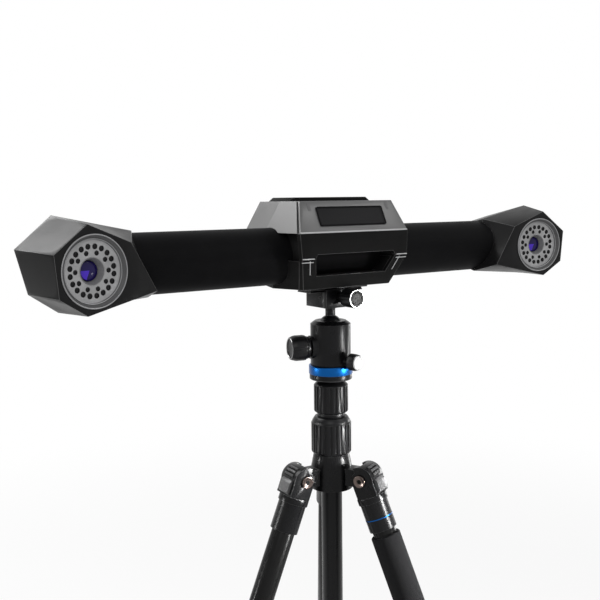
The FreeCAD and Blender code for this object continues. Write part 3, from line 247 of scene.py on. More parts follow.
def choose_faces(piece, wanted):
    """Select the faces whose centre and normal pass a test, in face mode."""
    edit(piece)
    bpy.ops.mesh.select_mode(type="FACE")
    bpy.ops.mesh.select_all(action="DESELECT")
    close_edit()
    for face in piece.data.polygons:
        face.select = bool(wanted(face.center, face.normal))
    pick(piece)
    bpy.ops.object.mode_set(mode="EDIT")
    bpy.ops.mesh.select_mode(type="FACE")


def flute(piece, count, low, high, depth, share=0.5):
    """Sink grooves into the side of a turned piece between two heights."""
    pitch = 2 * math.pi / count

    def in_groove(centre, normal):
        turn = math.atan2(centre.y, centre.x) % pitch
        outward = centre.x * normal.x + centre.y * normal.y > 0
        upright = outward and abs(normal.z) < 0.3
        return low < centre.z < high and upright and turn < pitch * share

    choose_faces(piece, in_groove)
    bpy.ops.mesh.extrude_region_shrink_fatten(TRANSFORM_OT_shrink_fatten={"value": -depth})
    close_edit()
    return piece


def joined(name, pieces):
    """Join pieces that were copied into one."""
    deselect()
    for piece in pieces:
        piece.select_set(True)
    bpy.context.view_layer.objects.active = pieces[0]
    bpy.ops.object.join()
    whole = bpy.context.object
    whole.name = name
    whole.data.name = name
    return whole


def copies(piece, places):
    """Copies of a piece that was modelled once, each with a mesh of its own."""
    made = []
    for place in places:
        copy = piece.copy()
        copy.data = piece.data.copy()
        bpy.context.scene.collection.objects.link(copy)
        made.append(put(copy, place))
    bpy.data.objects.remove(piece)
    return made


def wear(piece, *names):
    """Give a piece its finishes, with the first one on every face."""
    piece.data.materials.clear()
    for name in names:
        piece.data.materials.append(finishes[name])


def place_piece(piece, body, slot, *nodes):
    """Give a piece its body, and let it stand for CAD nodes; the slot is not used."""
    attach(piece, body)
    if nodes:
        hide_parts(*nodes)
    return piece


def finish_piece(piece, finish, body, slot, *nodes):
    """Give a piece its finish and body, and let it stand for CAD nodes; the slot is not used."""
    wear(piece, finish)
    return place_piece(piece, body, slot, *nodes)


def clean_copy(node):
    """A copy of a node with its triangles merged to clean faces."""
    source = frame["nodes"][node]
    piece = bpy.data.objects.new(node + "_edged", source.data.copy())
    bpy.context.scene.collection.objects.link(piece)
    edit(piece)
    bpy.ops.mesh.customdata_custom_splitnormals_clear()
    bpy.ops.mesh.remove_doubles(threshold=2e-6)
    bpy.ops.mesh.dissolve_limited(angle_limit=math.radians(0.6), delimit=set())
    close_edit()
    return piece


def stand_in(piece, node, finish, width, sharp=SHARP_FOLD, soft=SOFT_FOLD, edge=None):
    """Round a copy's edges and let it stand for its node, on the node's body.

    Where an edge finish is named, the rounded edges wear it: a lighter, glossier colour that paints highlights on
    them.
    """
    record = frame["record"]
    slot = next(row["material_slot"] for row in record["subparts"] if row["node"] == node)
    body = next(name for name, nodes in record["behaviour"]["bodies"].items() if node in nodes)
    wear(piece, *[name for name in (finish, edge) if name])
    soften(piece, width, sharp, 1 if edge else -1)
    smooth(piece, soft)
    return place_piece(piece, body, slot, node)


def dressed(node, finish, width, edge=None):
    """Stand an edged copy in for a node."""
    return stand_in(clean_copy(node), node, finish, width, edge=edge)


def turned_part(name, rings, place, finish, body, slot, *nodes, vertices=64, closed=False,
                soft=32):
    """A turned piece in its place and finish, with its rings in millimetres."""
    piece = smooth(turned(name, in_mm(rings), vertices, closed), soft)
    return finish_piece(put(piece, place), finish, body, slot, *nodes)


def rubber_grip(name, rings, vertices, place, body, node, edge, grooves=None, sharp=40,
                soft=32, closed=False):
    """A rubber grip that stands for a node, in its place and measured in millimetres.

    Its grooves have a count, low and high end, depth and share of the way round.
    """
    piece = turned(name, in_mm(rings), vertices, closed)
    if grooves:
        count, low, high, depth, share = grooves
        flute(piece, count, low * MM, high * MM, depth * MM, share)
    soften(piece, edge * MM, sharp)
    put(smooth(piece, soft), place)
    return finish_piece(piece, "rubber", body, "grip_rubber", node)


# Nodes of a material
def fill(node, values):
    """Give a node's sockets their plain values."""
    for socket, value in values.items():
        node.inputs[socket].default_value = value


def add_node(tree, kind, values=None, **settings):
    """A new shader node with its settings and the plain values of its sockets."""
    node = tree.nodes.new("ShaderNode" + kind)
    for name, value in settings.items():
        setattr(node, name, value)
    fill(node, values or {})
    return node


def wire(tree, *rows):
    """Link nodes: each row is a node and its output, then a node and its input."""
    for source, output, target, socket in rows:
        tree.links.new(source.outputs[output], target.inputs[socket])


# Surface effects that several materials share
def effect(name, inputs, outputs):
    """A node group with its sockets, and the nodes that read and fill them."""
    group = bpy.data.node_groups.new(name, "ShaderNodeTree")
    for label, kind, value in inputs:
        socket = group.interface.new_socket(
            name=label, in_out="INPUT", socket_type="NodeSocket" + kind)
        socket.default_value = value
    for label, kind in outputs:
        group.interface.new_socket(
            name=label, in_out="OUTPUT", socket_type="NodeSocket" + kind)
    return group, group.nodes.new("NodeGroupInput"), group.nodes.new("NodeGroupOutput")


def grain_effect():
    """Fine grain of paint, moulding or rubber: it varies colour, roughness and height."""
    group, source, target = effect("Surface Grain", [
        ("Colour", "Color", (0.1, 0.1, 0.1, 1)),
        ("Tone Spread", "Float", 0.1),
        ("Roughness", "Float", 0.5),
        ("Roughness Spread", "Float", 0.05),
        ("Grain Scale", "Float", 2500.0),
        ("Grain Height", "Float", 0.1)], [
        ("Colour", "Color"), ("Roughness", "Float"),
        ("Normal", "Vector")])
    where = add_node(group, "TexCoord")
    fine = add_node(group, "TexNoise", {"Detail": 2})
    broad = add_node(group, "TexNoise", {"Scale": 35, "Detail": 4})
    tone = add_node(group, "MapRange", {"From Min": 0.3, "From Max": 0.7, "To Min": -1})
    light = add_node(group, "Math", operation="MULTIPLY")
    shade = add_node(group, "Math", {1: 1}, operation="ADD")
    paint = add_node(group, "VectorMath", operation="SCALE")
    rough = add_node(group, "Math", operation="MULTIPLY_ADD")
    bump = add_node(group, "Bump", {"Distance": 0.0002})
    wire(group,
         (where, "Object", fine, "Vector"), (where, "Object", broad, "Vector"),
         (source, "Grain Scale", fine, "Scale"), (broad, "Fac", tone, "Value"),
         (tone, "Result", light, 0), (source, "Tone Spread", light, 1),
         (light, 0, shade, 0), (source, "Colour", paint, 0), (shade, 0, paint, "Scale"),
         (paint, "Vector", target, "Colour"), (tone, "Result", rough, 0),
         (source, "Roughness Spread", rough, 1), (source, "Roughness", rough, 2),
         (rough, 0, target, "Roughness"), (fine, "Fac", bump, "Height"),
         (source, "Grain Height", bump, "Strength"), (bump, "Normal", target, "Normal"))


def lathe_effect():
    """Fine circles that a lathe leaves round the axis of the vector it is given."""
    group, source, target = effect("Lathe Lines", [
        ("Vector", "Vector", (0, 0, 0)),
        ("Roughness", "Float", 0.35),
        ("Roughness Spread", "Float", 0.12),
        ("Line Scale", "Float", 1500.0),
        ("Line Height", "Float", 0.1)], [
        ("Roughness", "Float"), ("Normal", "Vector")])
    parts = add_node(group, "SeparateXYZ")
    flat = add_node(group, "CombineXYZ")
    reach = add_node(group, "VectorMath", operation="LENGTH")
    along = add_node(group, "CombineXYZ")
    lines = add_node(group, "TexNoise", {"Detail": 3})
    rough = add_node(group, "Math", operation="MULTIPLY_ADD")
    bump = add_node(group, "Bump", {"Distance": 0.0001})
    wire(group,
         (source, "Vector", parts, 0), (parts, "X", flat, "X"), (parts, "Y", flat, "Y"),
         (flat, 0, reach, 0), (reach, "Value", along, "X"), (parts, "Z", along, "Y"),
         (along, 0, lines, "Vector"), (source, "Line Scale", lines, "Scale"),
         (lines, "Fac", rough, 0), (source, "Roughness Spread", rough, 1),
         (source, "Roughness", rough, 2), (rough, 0, target, "Roughness"),
         (lines, "Fac", bump, "Height"), (source, "Line Height", bump, "Strength"),
         (bump, "Normal", target, "Normal"))


def foam_effect():
    """Open cells of foam rubber: a bump sinks each cell, and a darker colour in its pit is painted shade."""
    group, source, target = effect("Foam Cells", [
        ("Colour", "Color", (0.1, 0.1, 0.1, 1)),
        ("Pore Shade Colour", "Color", (0.02, 0.02, 0.02, 1)),
        ("Cell Scale", "Float", 900.0),
        ("Cell Height", "Float", 0.6)], [
        ("Colour", "Color"), ("Normal", "Vector")])
    where = add_node(group, "TexCoord")
    cells = add_node(group, "TexVoronoi")
    # Darker towards each cell's centre, where the bump sinks it: painted shade in the pores
    mask = add_node(group, "MapRange", {"From Min": 0.1, "From Max": 0.6})
    mix = add_node(group, "Mix", data_type="RGBA")
    bump = add_node(group, "Bump", {"Distance": 0.0004})
    wire(group,
         (where, "Object", cells, "Vector"), (source, "Cell Scale", cells, "Scale"),
         (cells, "Distance", mask, "Value"), (mask, "Result", mix, "Factor"),
         (source, "Pore Shade Colour", mix, "A"), (source, "Colour", mix, "B"),
         (mix, "Result", target, "Colour"), (mask, "Result", bump, "Height"),
         (source, "Cell Height", bump, "Strength"), (bump, "Normal", target, "Normal"))


def base_finish(name, colour, roughness, metallic=0.0, coat=0.0, coat_roughness=0.1,
                specular=0.5):
    """A material whose shader has its plain values."""
    material = bpy.data.materials.new(name)
    material.use_nodes = True
    shader = material.node_tree.nodes["Principled BSDF"]
    fill(shader, {"Base Color": (*colour, 1), "Roughness": roughness, "Metallic": metallic,
                  "Coat Weight": coat, "Coat Roughness": coat_roughness,
                  "Specular IOR Level": specular})
    return material, shader


def place_effect(material, name, values):
    """Put a shared effect in a material with the material's own values."""
    group = bpy.data.node_groups[name]
    return add_node(material.node_tree, "Group", values, node_tree=group)


def grained(name, colour, roughness, tone=0.08, scale=2500.0, height=0.1, **more):
    """A painted, moulded or rubber finish with its grain."""
    material, shader = base_finish(name, colour, roughness, **more)
    grain = place_effect(material, "Surface Grain", {
        "Colour": (*colour, 1), "Tone Spread": tone, "Roughness": roughness,
        "Grain Scale": scale, "Grain Height": height})
    wire(material.node_tree, (grain, "Colour", shader, "Base Color"),
         (grain, "Roughness", shader, "Roughness"), (grain, "Normal", shader, "Normal"))
    return material


def lathed(name, colour, roughness, place, scale=1500.0):
    """A machined metal finish whose lines run round the axis of a place."""
    material, shader = base_finish(name, colour, roughness, metallic=1.0)
    tree = material.node_tree
    where = add_node(tree, "TexCoord")
    centre = add_node(tree, "Mapping", {
        "Location": place.to_translation(), "Rotation": place.to_euler()},
        vector_type="TEXTURE")
    lines = place_effect(material, "Lathe Lines", {"Roughness": roughness, "Line Scale": scale})
    wire(tree, (where, "Object", centre, "Vector"), (centre, "Vector", lines, "Vector"),
         (lines, "Roughness", shader, "Roughness"), (lines, "Normal", shader, "Normal"))
    return material


def foam_finish(name, colour, pore_shade_colour):
    material, shader = base_finish(name, colour, 0.9, specular=0.1)
    cells = place_effect(material, "Foam Cells", {
        "Colour": (*colour, 1), "Pore Shade Colour": (*pore_shade_colour, 1)})
    wire(material.node_tree, (cells, "Colour", shader, "Base Color"),
         (cells, "Normal", shader, "Normal"))
    return material


def filter_finish(name, colour):
    """Coated glass that is darker where it turns away from the eye."""
    material, shader = base_finish(name, colour, 0.12, coat=0.2, coat_roughness=0.02,
                                   specular=0.1)
    tree = material.node_tree
    red, green, blue = colour
    facing = add_node(tree, "LayerWeight", {"Blend": 0.3})
    tint = add_node(tree, "Mix", {
        "A": (red, green, blue, 1), "B": (red * 0.4, green * 0.4, blue * 0.5, 1)},
        data_type="RGBA")
    wire(tree, (facing, "Facing", tint, "Factor"), (tint, "Result", shader, "Base Color"))
    return material


def make_finishes(colours, sizes):
    """Every finish of the scanner by its name."""
    grain_effect()
    lathe_effect()
    foam_effect()
    column = Matrix.Translation(middle("ball_housing"))
    return {
        "tube": grained("Composite tube", colours.tube, 0.5, tone=0.12, height=0.04,
                        specular=0.02),
        "shell": grained("Casing paint", colours.shell, 0.34, tone=0.05, height=0.08,
                         specular=0.1),
        "cover": grained("Cover paint", colours.cover, 0.34, tone=0.04, height=0.06),
        "moulding": grained("Black moulding", colours.moulding, 0.5, tone=0.06, height=0.08,
                            specular=0.02),
        "panel": base_finish("Bare panel", (0.014, 0.014, 0.015), 0.42, specular=0.06)[0],
        "trim": base_finish("Trim line", (0.5, 0.5, 0.51), 0.35)[0],
        "notch": grained("Notch", (0.11, 0.11, 0.112), 0.5, tone=0.03),
        "rim_left": lathed("Ring rim left", (0.26, 0.26, 0.265), 0.4,
                           head_place("left", sizes)),
        "rim_right": lathed("Ring rim right", (0.26, 0.26, 0.265), 0.4,
                            head_place("right", sizes)),
        "band": grained("Ring band", (0.11, 0.11, 0.112), 0.45, tone=0.04, height=0.05,
                        specular=0.2),
        "plate": grained("Lamp plate", (0.44, 0.44, 0.445), 0.55, tone=0.2, scale=700.0,
                         height=0.3, specular=0.3),
        "lamp": base_finish("Lamp", (0.004, 0.004, 0.005), 0.2, specular=0.15)[0],
        "funnel": grained("Funnel", (0.24, 0.24, 0.242), 0.4, tone=0.05, specular=0.3),
        "filter": filter_finish("Lens filter", colours.lens),
        # Painted reflection: the bright violet sector that lies low in each lens
        "glint": filter_finish("Lens filter window", colours.glint),
        "anodised": grained("Black anodised", (0.004, 0.004, 0.0045), 0.3, tone=0.1,
                            scale=4000.0, height=0.04, specular=0.14),
        "casting": grained("Casting paint", (0.004, 0.004, 0.0044), 0.26, tone=0.1,
                           scale=1800.0, height=0.1, specular=0.14),
        "blue": lathed("Blue anodised", colours.pan_ring, 0.28, column, scale=900.0),
        "rubber": grained("Grip rubber", (0.005, 0.005, 0.0055), 0.32, tone=0.1,
                          scale=3000.0, height=0.1, specular=0.16),
        "leg": grained("Leg tube", (0.004, 0.004, 0.004), 0.22, tone=0.12, height=0.02,
                       specular=0.12),
        "steel": grained("Bolt steel", (0.12, 0.095, 0.085), 0.24, tone=0.1, metallic=1.0),
        "alloy": grained("Tab alloy", (0.07, 0.07, 0.071), 0.34, tone=0.08, specular=0.4),
        # Lighter than the casting: a painted highlight on the casting ribs
        "rib": grained("Casting rib painted highlight", (0.03, 0.03, 0.031), 0.3, tone=0.05, specular=0.4),
        # Near black and barely glossy: painted shade for the bolts' socket holes and the grooves beside the
        # casting ribs
        "socket": base_finish("Bolt socket painted shade", (0.006, 0.006, 0.006), 0.5, specular=0.05)[0],
        "chrome": base_finish("Chrome ring", (0.26, 0.26, 0.26), 0.2, metallic=1.0)[0],
        "cap_dark": grained("Dark cap", (0.008, 0.008, 0.008), 0.3, tone=0.05, specular=0.1),
        "cap_pale": base_finish("Pale cap", (0.5, 0.5, 0.5), 0.35, specular=0.3)[0],
        # Edge finishes are lighter and glossier than the parts they round: painted highlights on the rounded edges
        "shell_edge": grained("Casing edge", (0.09, 0.09, 0.091), 0.3, tone=0.1, specular=0.4),
        "moulding_edge_highlight": grained("Moulding edge painted highlight", (0.06, 0.06, 0.06), 0.3, tone=0.1,
                                 specular=0.4),
        "casting_edge_highlight": grained("Casting edge painted highlight", (0.03, 0.03, 0.031), 0.3, tone=0.1,
                                specular=0.5),
        # The darker second colour paints shade in the foam's pores
        "foam": foam_finish("Foam grip", (0.011, 0.011, 0.0115), (0.004, 0.004, 0.0045)),
    }


finishes = {}


# Sizes and colours that a user would change
class ScannerSizes(bpy.types.PropertyGroup):
    toe_in: bpy.props.FloatProperty(
        name="Toe-in", description="Angle by which each camera looks inwards",
        default=math.radians(10.1), subtype="ANGLE")
    ring_proud: bpy.props.FloatProperty(
        name="Ring proud", description="How far a camera's ring stands out of its face",
        default=1.3 * MM, unit="LENGTH")
    ring_depth: bpy.props.FloatProperty(
        name="Ring depth", description="Depth of a camera's ring behind its face",
        default=6 * MM, unit="LENGTH")
    lamp_outer: bpy.props.FloatProperty(
        name="Outer lamp circle", description="Radius of the outer circle of lamps",
        default=32.3 * MM, unit="LENGTH")
    lamp_inner: bpy.props.FloatProperty(
        name="Inner lamp circle", description="Radius of the inner circle of lamps",
        default=24.4 * MM, unit="LENGTH")
    lens_radius: bpy.props.FloatProperty(
        name="Lens", description="Radius of a camera's lens",
        default=13.1 * MM, unit="LENGTH")
    shell_edge: bpy.props.FloatProperty(
        name="Casing edge", description="Rounding of the edges of the heads and the hub",
        default=0.7 * MM, unit="LENGTH")
    flute_depth: bpy.props.FloatProperty(
        name="Flute depth", description="Depth of the grooves in the column's grips",
        default=1.3 * MM, unit="LENGTH")


class ScannerColours(bpy.types.PropertyGroup):
    tube: bpy.props.FloatVectorProperty(
        name="Tube", description="Colour of the crossbar tube",
        default=(0.0075, 0.0075, 0.008), subtype="COLOR", size=3)
    shell: bpy.props.FloatVectorProperty(
        name="Casings", description="Colour of the camera heads",
        default=(0.012, 0.012, 0.0123), subtype="COLOR", size=3)
    cover: bpy.props.FloatVectorProperty(
        name="Covers", description="Colour of the hub's grey covers",
        default=(0.118, 0.118, 0.118), subtype="COLOR", size=3)
    moulding: bpy.props.FloatVectorProperty(
        name="Mouldings", description="Colour of the hub's black mouldings",
        default=(0.013, 0.013, 0.013), subtype="COLOR", size=3)
    pan_ring: bpy.props.FloatVectorProperty(
        name="Pan ring", description="Colour of the ring under the ball housing",
        default=(0.006, 0.075, 0.26), subtype="COLOR", size=3)
    lens: bpy.props.FloatVectorProperty(
        name="Lens", description="Colour of the coating of the lenses",
        default=(0.012, 0.005, 0.1), subtype="COLOR", size=3)
    # Colour of the painted reflection that lies low in each lens
    glint: bpy.props.FloatVectorProperty(
        name="Lens window", description="Colour of the bright window in the lenses",
        default=(0.1, 0.035, 0.75), subtype="COLOR", size=3)


class SCANNER_OT_shells(bpy.types.Operator):
    """Round the edges of the camera heads, of what lies in their rings, and of the hub"""
    bl_idname = "scanner.shells"
    bl_label = "Heads and covers"

    def execute(self, context):
        edge = context.scene.scanner_sizes.shell_edge
        for side in SIDES:
            # The casing edge finish paints highlights on the heads' rounded edges
            dressed("head_front_" + side, "shell", edge, "shell_edge")
            dressed("head_rear_" + side, "shell", edge, "shell_edge")
            dressed("led_plate_" + side, "plate", 0.15 * MM)
            dressed("camera_barrel_" + side, "funnel", 0.2 * MM)
        dressed("hub_front_cover", "cover", edge)
        stand_in(self.ridged_cover(), "hub_cover", "cover", 0.4 * MM, sharp=4, soft=4)
        for node in ("hub_front_frame", "hub_rear_frame", "hub_lower_shell"):
            # The moulding edge finish paints highlights on the frames' rounded edges
            dressed(node, "moulding", edge, "moulding_edge_highlight")
        for node in ("hub_core", "hub_top_plate", "rear_sockets"):
            dressed(node, "moulding", edge)
        dressed("tube_plugs", "anodised", 0.3 * MM)
        return {"FINISHED"}

    def ridged_cover(self):
        """The hub's cover with a leaning ridge drawn out of each of its ends."""
        piece = clean_copy("hub_cover")
        low, high = (Vector(corner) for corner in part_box("hub_cover"))
        # The ridge's ends: how far out they lie, and how far in from the cover's rear
        top_out, top_in = 91 * MM, 88.5 * MM
        foot_out, foot_in = 107 * MM, 64.5 * MM
        drawn = 4 * MM
        for side in (-1, 1):
            top = Vector((side * top_out, high.y - top_in, high.z))
            foot = Vector((side * foot_out, high.y - foot_in, low.z + 1 * MM))

            def outer_end(centre, normal, side=side):
                return side * normal.x > 0.8 and side * centre.x > 0

            choose_faces(piece, outer_end)
            bpy.ops.mesh.dissolve_faces(use_verts=True)
            close_edit()
            choose_faces(piece, outer_end)
            bpy.ops.mesh.bisect(plane_co=top, plane_no=(foot - top).cross(Vector((1, 0, 0))))
            close_edit()
            for vertex in piece.data.vertices:
                if (vertex.co - top).length < 2 * MM:
                    vertex.co.x += side * drawn
        return piece


class SCANNER_OT_lamps(bpy.types.Operator):
    """Model the lamps of both camera rings as recessed domes"""
    bl_idname = "scanner.lamps"
    bl_label = "Lamps"

    def execute(self, context):
        sizes = context.scene.scanner_sizes
        # Lamps in a circle, its radius, its first angle, and a lamp's size and depth in mm
        circles = ((20, sizes.lamp_outer, 9, 3.85, 6.9), (10, sizes.lamp_inner, 18, 3.35, 7.2))
        for side in SIDES:
            place = head_place(side, sizes)
            lamps = []
            for count, reach, start, radius, depth in circles:
                lamp = smooth(turned("lamp", in_mm([
                    (radius, -9), (radius, -depth - 0.6), (radius * 0.86, -depth - 0.2),
                    (radius * 0.6, -depth), (radius * 0.56, -depth - 0.5),
                    (radius * 0.3, -depth - 0.2), (radius * 0.1, -depth - 0.1)]), 24), 50)
                spots = []
                for number in range(count):
                    turn = math.radians(start) + number * 2 * math.pi / count
                    spot = Matrix.Translation((reach * math.sin(turn), reach * math.cos(turn), 0))
                    spots.append(place @ spot)
                lamps += copies(lamp, spots)
            whole = joined("lamp_domes_" + side, lamps)
            finish_piece(whole, "lamp", BODY, "lamp_black", "led_lamps")
        return {"FINISHED"}


class SCANNER_OT_lenses(bpy.types.Operator):
    """Model the coated filter in each lens, with a bright violet sheet low in it as a painted reflection"""
    bl_idname = "scanner.lenses"
    bl_label = "Lenses"

    def execute(self, context):
        sizes = context.scene.scanner_sizes
        radius = sizes.lens_radius / MM
        for side in SIDES:
            place = head_place(side, sizes)
            turned_part("lens_glass_" + side, [
                (radius, -24), (radius, -16.4), (radius * 0.97, -16.1), (radius * 0.7, -15.7),
                (radius * 0.35, -15.4), (radius * 0.05, -15.3)],
                place, "filter", BODY, "lens_violet", "front_lenses", soft=60)
            # A flat bright sheet low in the lens, as a painted reflection
            window = self.window("lens_window_" + side, sizes.lens_radius * 0.93)
            put(window, place)
            finish_piece(window, "glint", BODY, "lens_violet")
        return {"FINISHED"}

    def window(self, name, radius):
        """A bright flat violet sector that lies low in the lens: a painted reflection."""
        deselect()
        bpy.ops.mesh.primitive_circle_add(vertices=64, radius=radius, fill_type="NGON",
                                          location=(0, 0, -15.95 * MM))
        window = newest(name)
        edit(window)
        for edge_at, away in (((0, 0.6 * MM, 0), (0, 1, 0)),
                              ((0.8 * MM, 0, 0), (0.92, -0.39, 0))):
            bpy.ops.mesh.bisect(plane_co=edge_at, plane_no=away, clear_outer=True)
            bpy.ops.mesh.select_all(action="SELECT")
        bpy.ops.mesh.extrude_region_move(TRANSFORM_OT_translate={"value": (0, 0, 0.75 * MM)})
        close_edit()
        return tidy_normals(window)


class SCANNER_OT_rings(bpy.types.Operator):
    """Turn each camera's ring: a bright rim, a grey sloping band and a bright lip"""
    bl_idname = "scanner.rings"
    bl_label = "Camera rings"

    def execute(self, context):
        sizes = context.scene.scanner_sizes
        rim, proud, back = 48.5, sizes.ring_proud / MM, -sizes.ring_depth / MM
        profile = [
            (rim, back), (rim, proud - 0.5), (rim - 0.35, proud - 0.1), (rim - 0.9, proud),
            (rim - 1.6, proud - 0.3), (rim - 1.8, proud - 1), (rim - 2.2, -1.2),
            (rim - 5.6, -4.4), (rim - 5.7, -3.4), (rim - 6.1, -3.1), (rim - 6.9, -3.4),
            (rim - 7.4, back), (rim, back)]
        band = [
            (rim - 1.9, -0.4), (rim - 5.5, -3.7), (rim - 5.6, -4.1), (rim - 2, -0.9),
            (rim - 1.9, -0.4)]
        for side in SIDES:
            place = head_place(side, sizes)
            turned_part("camera_ring_" + side, profile, place, "rim_" + side, BODY,
                        "ring_silver", "bezel_ring_" + side, vertices=160, closed=True, soft=25)
            turned_part("camera_band_" + side, band, place, "band", BODY, "ring_silver",
                        vertices=160, closed=True, soft=25)
        return {"FINISHED"}


class SCANNER_OT_hub_trim(bpy.types.Operator):
    """Add the light trim lines, the notches and the ridge line of the hub's front"""
    bl_idname = "scanner.hub_trim"
    bl_label = "Hub trim"

    def execute(self, context):
        self.trim_lines()
        self.notches()
        return {"FINISHED"}

    def strip(self, name, width, depth, spot, face):
        """A thin strip on a face of the hub's front, in millimetres from the bar's middle."""
        piece = slab(name, width * MM, depth * MM, 0.4 * MM, 0.12 * MM)
        return put(piece, bar_place() @ Matrix.Translation(Vector(spot) * MM) @ face)

    def trim_lines(self):
        """Two short level lines and a tail beside each end of the grip slot, and the ridge."""
        lip = Matrix.Rotation(QUARTER + math.radians(2), 4, "X")
        chin = Matrix.Rotation(QUARTER + CHIN_LEAN, 4, "X")
        ridge = Matrix.Rotation(math.radians(63.4), 4, "X")
        strips = []
        for side in (-1, 1):
            slant = Matrix.Rotation(math.radians(side * -16), 4, "Z")
            for name, width, depth, spot, face in (
                    ("trim", 22, 1.5, (side * 92.6, -81.05, -1.1), lip),
                    ("trim", 22, 1.5, (side * 92.6, -78.85, -6.5), chin),
                    ("trim_tail", 1.4, 25.5, (side * 85.2, -74.25, -15.5), chin @ slant)):
                strips.append(self.strip(name, width, depth, spot, face))
        strips.append(self.strip("ridge_line", 211, 2.3, (0, -79.25, 38.4), ridge))
        finish_piece(joined("trim_lines", strips), "trim", BODY, "ring_silver")

    def notches(self):
        """Two small darker marks in the front cover beside the panel."""
        # In millimetres from the bar's middle: the front's lower edge, and the way up from it
        across, front, level = 77, 79.95, 37.45
        rise = 44
        face = Matrix.Rotation(QUARTER - FRONT_LEAN, 4, "X")
        marks = []
        for side in (-1, 1):
            mark = slab("notch", 5.5 * MM, 13 * MM, 0.25 * MM, 0.1 * MM)
            spot = Vector((side * across, rise * math.sin(FRONT_LEAN) - front,
                           rise * math.cos(FRONT_LEAN) + level)) * MM
            marks.append(put(mark, bar_place() @ Matrix.Translation(spot) @ face))
        finish_piece(joined("cover_notches", marks), "notch", BODY, "hub_grey")


class SCANNER_OT_panel(bpy.types.Operator):
    """Model the bare front panel with its rounded corners"""
    bl_idname = "scanner.panel"
    bl_label = "Bare panel"

    def execute(self, context):
        low, high = (Vector(corner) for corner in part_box("front_panel"))
        thick = 1.2 * MM
        tall = (high.z - low.z - thick * math.sin(FRONT_LEAN)) / math.cos(FRONT_LEAN)
        piece = plaque("front_panel_plate", high.x - low.x, tall, thick, 3 * MM, 0.25 * MM)
        face = Matrix.Rotation(QUARTER - FRONT_LEAN, 4, "X")
        sunk = Matrix.Translation((0, 0, -thick / 2))
        put(piece, Matrix.Translation((low + high) / 2) @ face @ sunk)
        finish_piece(piece, "panel", BODY, "panel_black", "front_panel")
        return {"FINISHED"}


class SCANNER_OT_crossbar(bpy.types.Operator):
    """Turn the crossbar as a fine round tube"""
    bl_idname = "scanner.crossbar"
    bl_label = "Crossbar"

    def execute(self, context):
        low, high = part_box("crossbar_tube")
        half = (high[0] - low[0]) / 2 / MM
        radius = (high[2] - low[2]) / 2 / MM
        inner = radius - 3
        turned_part("crossbar", [(inner, -half), (radius, -half), (radius, half),
                                 (inner, half), (inner, -half)],
                    bar_place() @ Matrix.Rotation(QUARTER, 4, "Y"), "tube", BODY,
                    "tube_black", "crossbar_tube", vertices=128, closed=True, soft=30)
        return {"FINISHED"}


class SCANNER_OT_grips(bpy.types.Operator):
    """Model the fluted grips of the centre column"""
    bl_idname = "scanner.grips"
    bl_label = "Column grips"

    def execute(self, context):
        depth = context.scene.scanner_sizes.flute_depth / MM
        for part, count, rings in (
                ("upper_column", 22, [
                    (17.8, 0), (23.4, 0), (25.6, 0.6), (28.0, 2.6), (28.4, 3.6), (28.4, 46.0),
                    (27.9, 47.2), (26.2, 49.0), (19.4, 54.2), (18.2, 54.8), (15.4, 54.8),
                    (15.4, 43.2), (17.8, 43.2), (17.8, 0)]),
                ("lower_column", 25, [
                    (24.4, 0), (30.0, 0), (31.4, 0.6), (33.0, 2.6), (33.4, 3.6), (33.4, 51.2),
                    (32.9, 52.2), (31.8, 53.4), (31.6, 55.2), (28.6, 60.0), (27.2, 61.8),
                    (17.8, 61.8), (17.8, 48.2), (24.4, 48.2), (24.4, 0)])):
            node = part + "_lock"
            low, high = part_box(node)
            # The grooves stop below the upper shoulder
            shoulder = (high[2] - low[2]) * 0.84 / MM
            rubber_grip(node + "_grip", rings, count * 6, Matrix.Translation((0, 0, low[2])),
                        part + "_grip", node, 0.35, (count, 2, shoulder, depth, 0.45),
                        soft=30, closed=True)
        return {"FINISHED"}


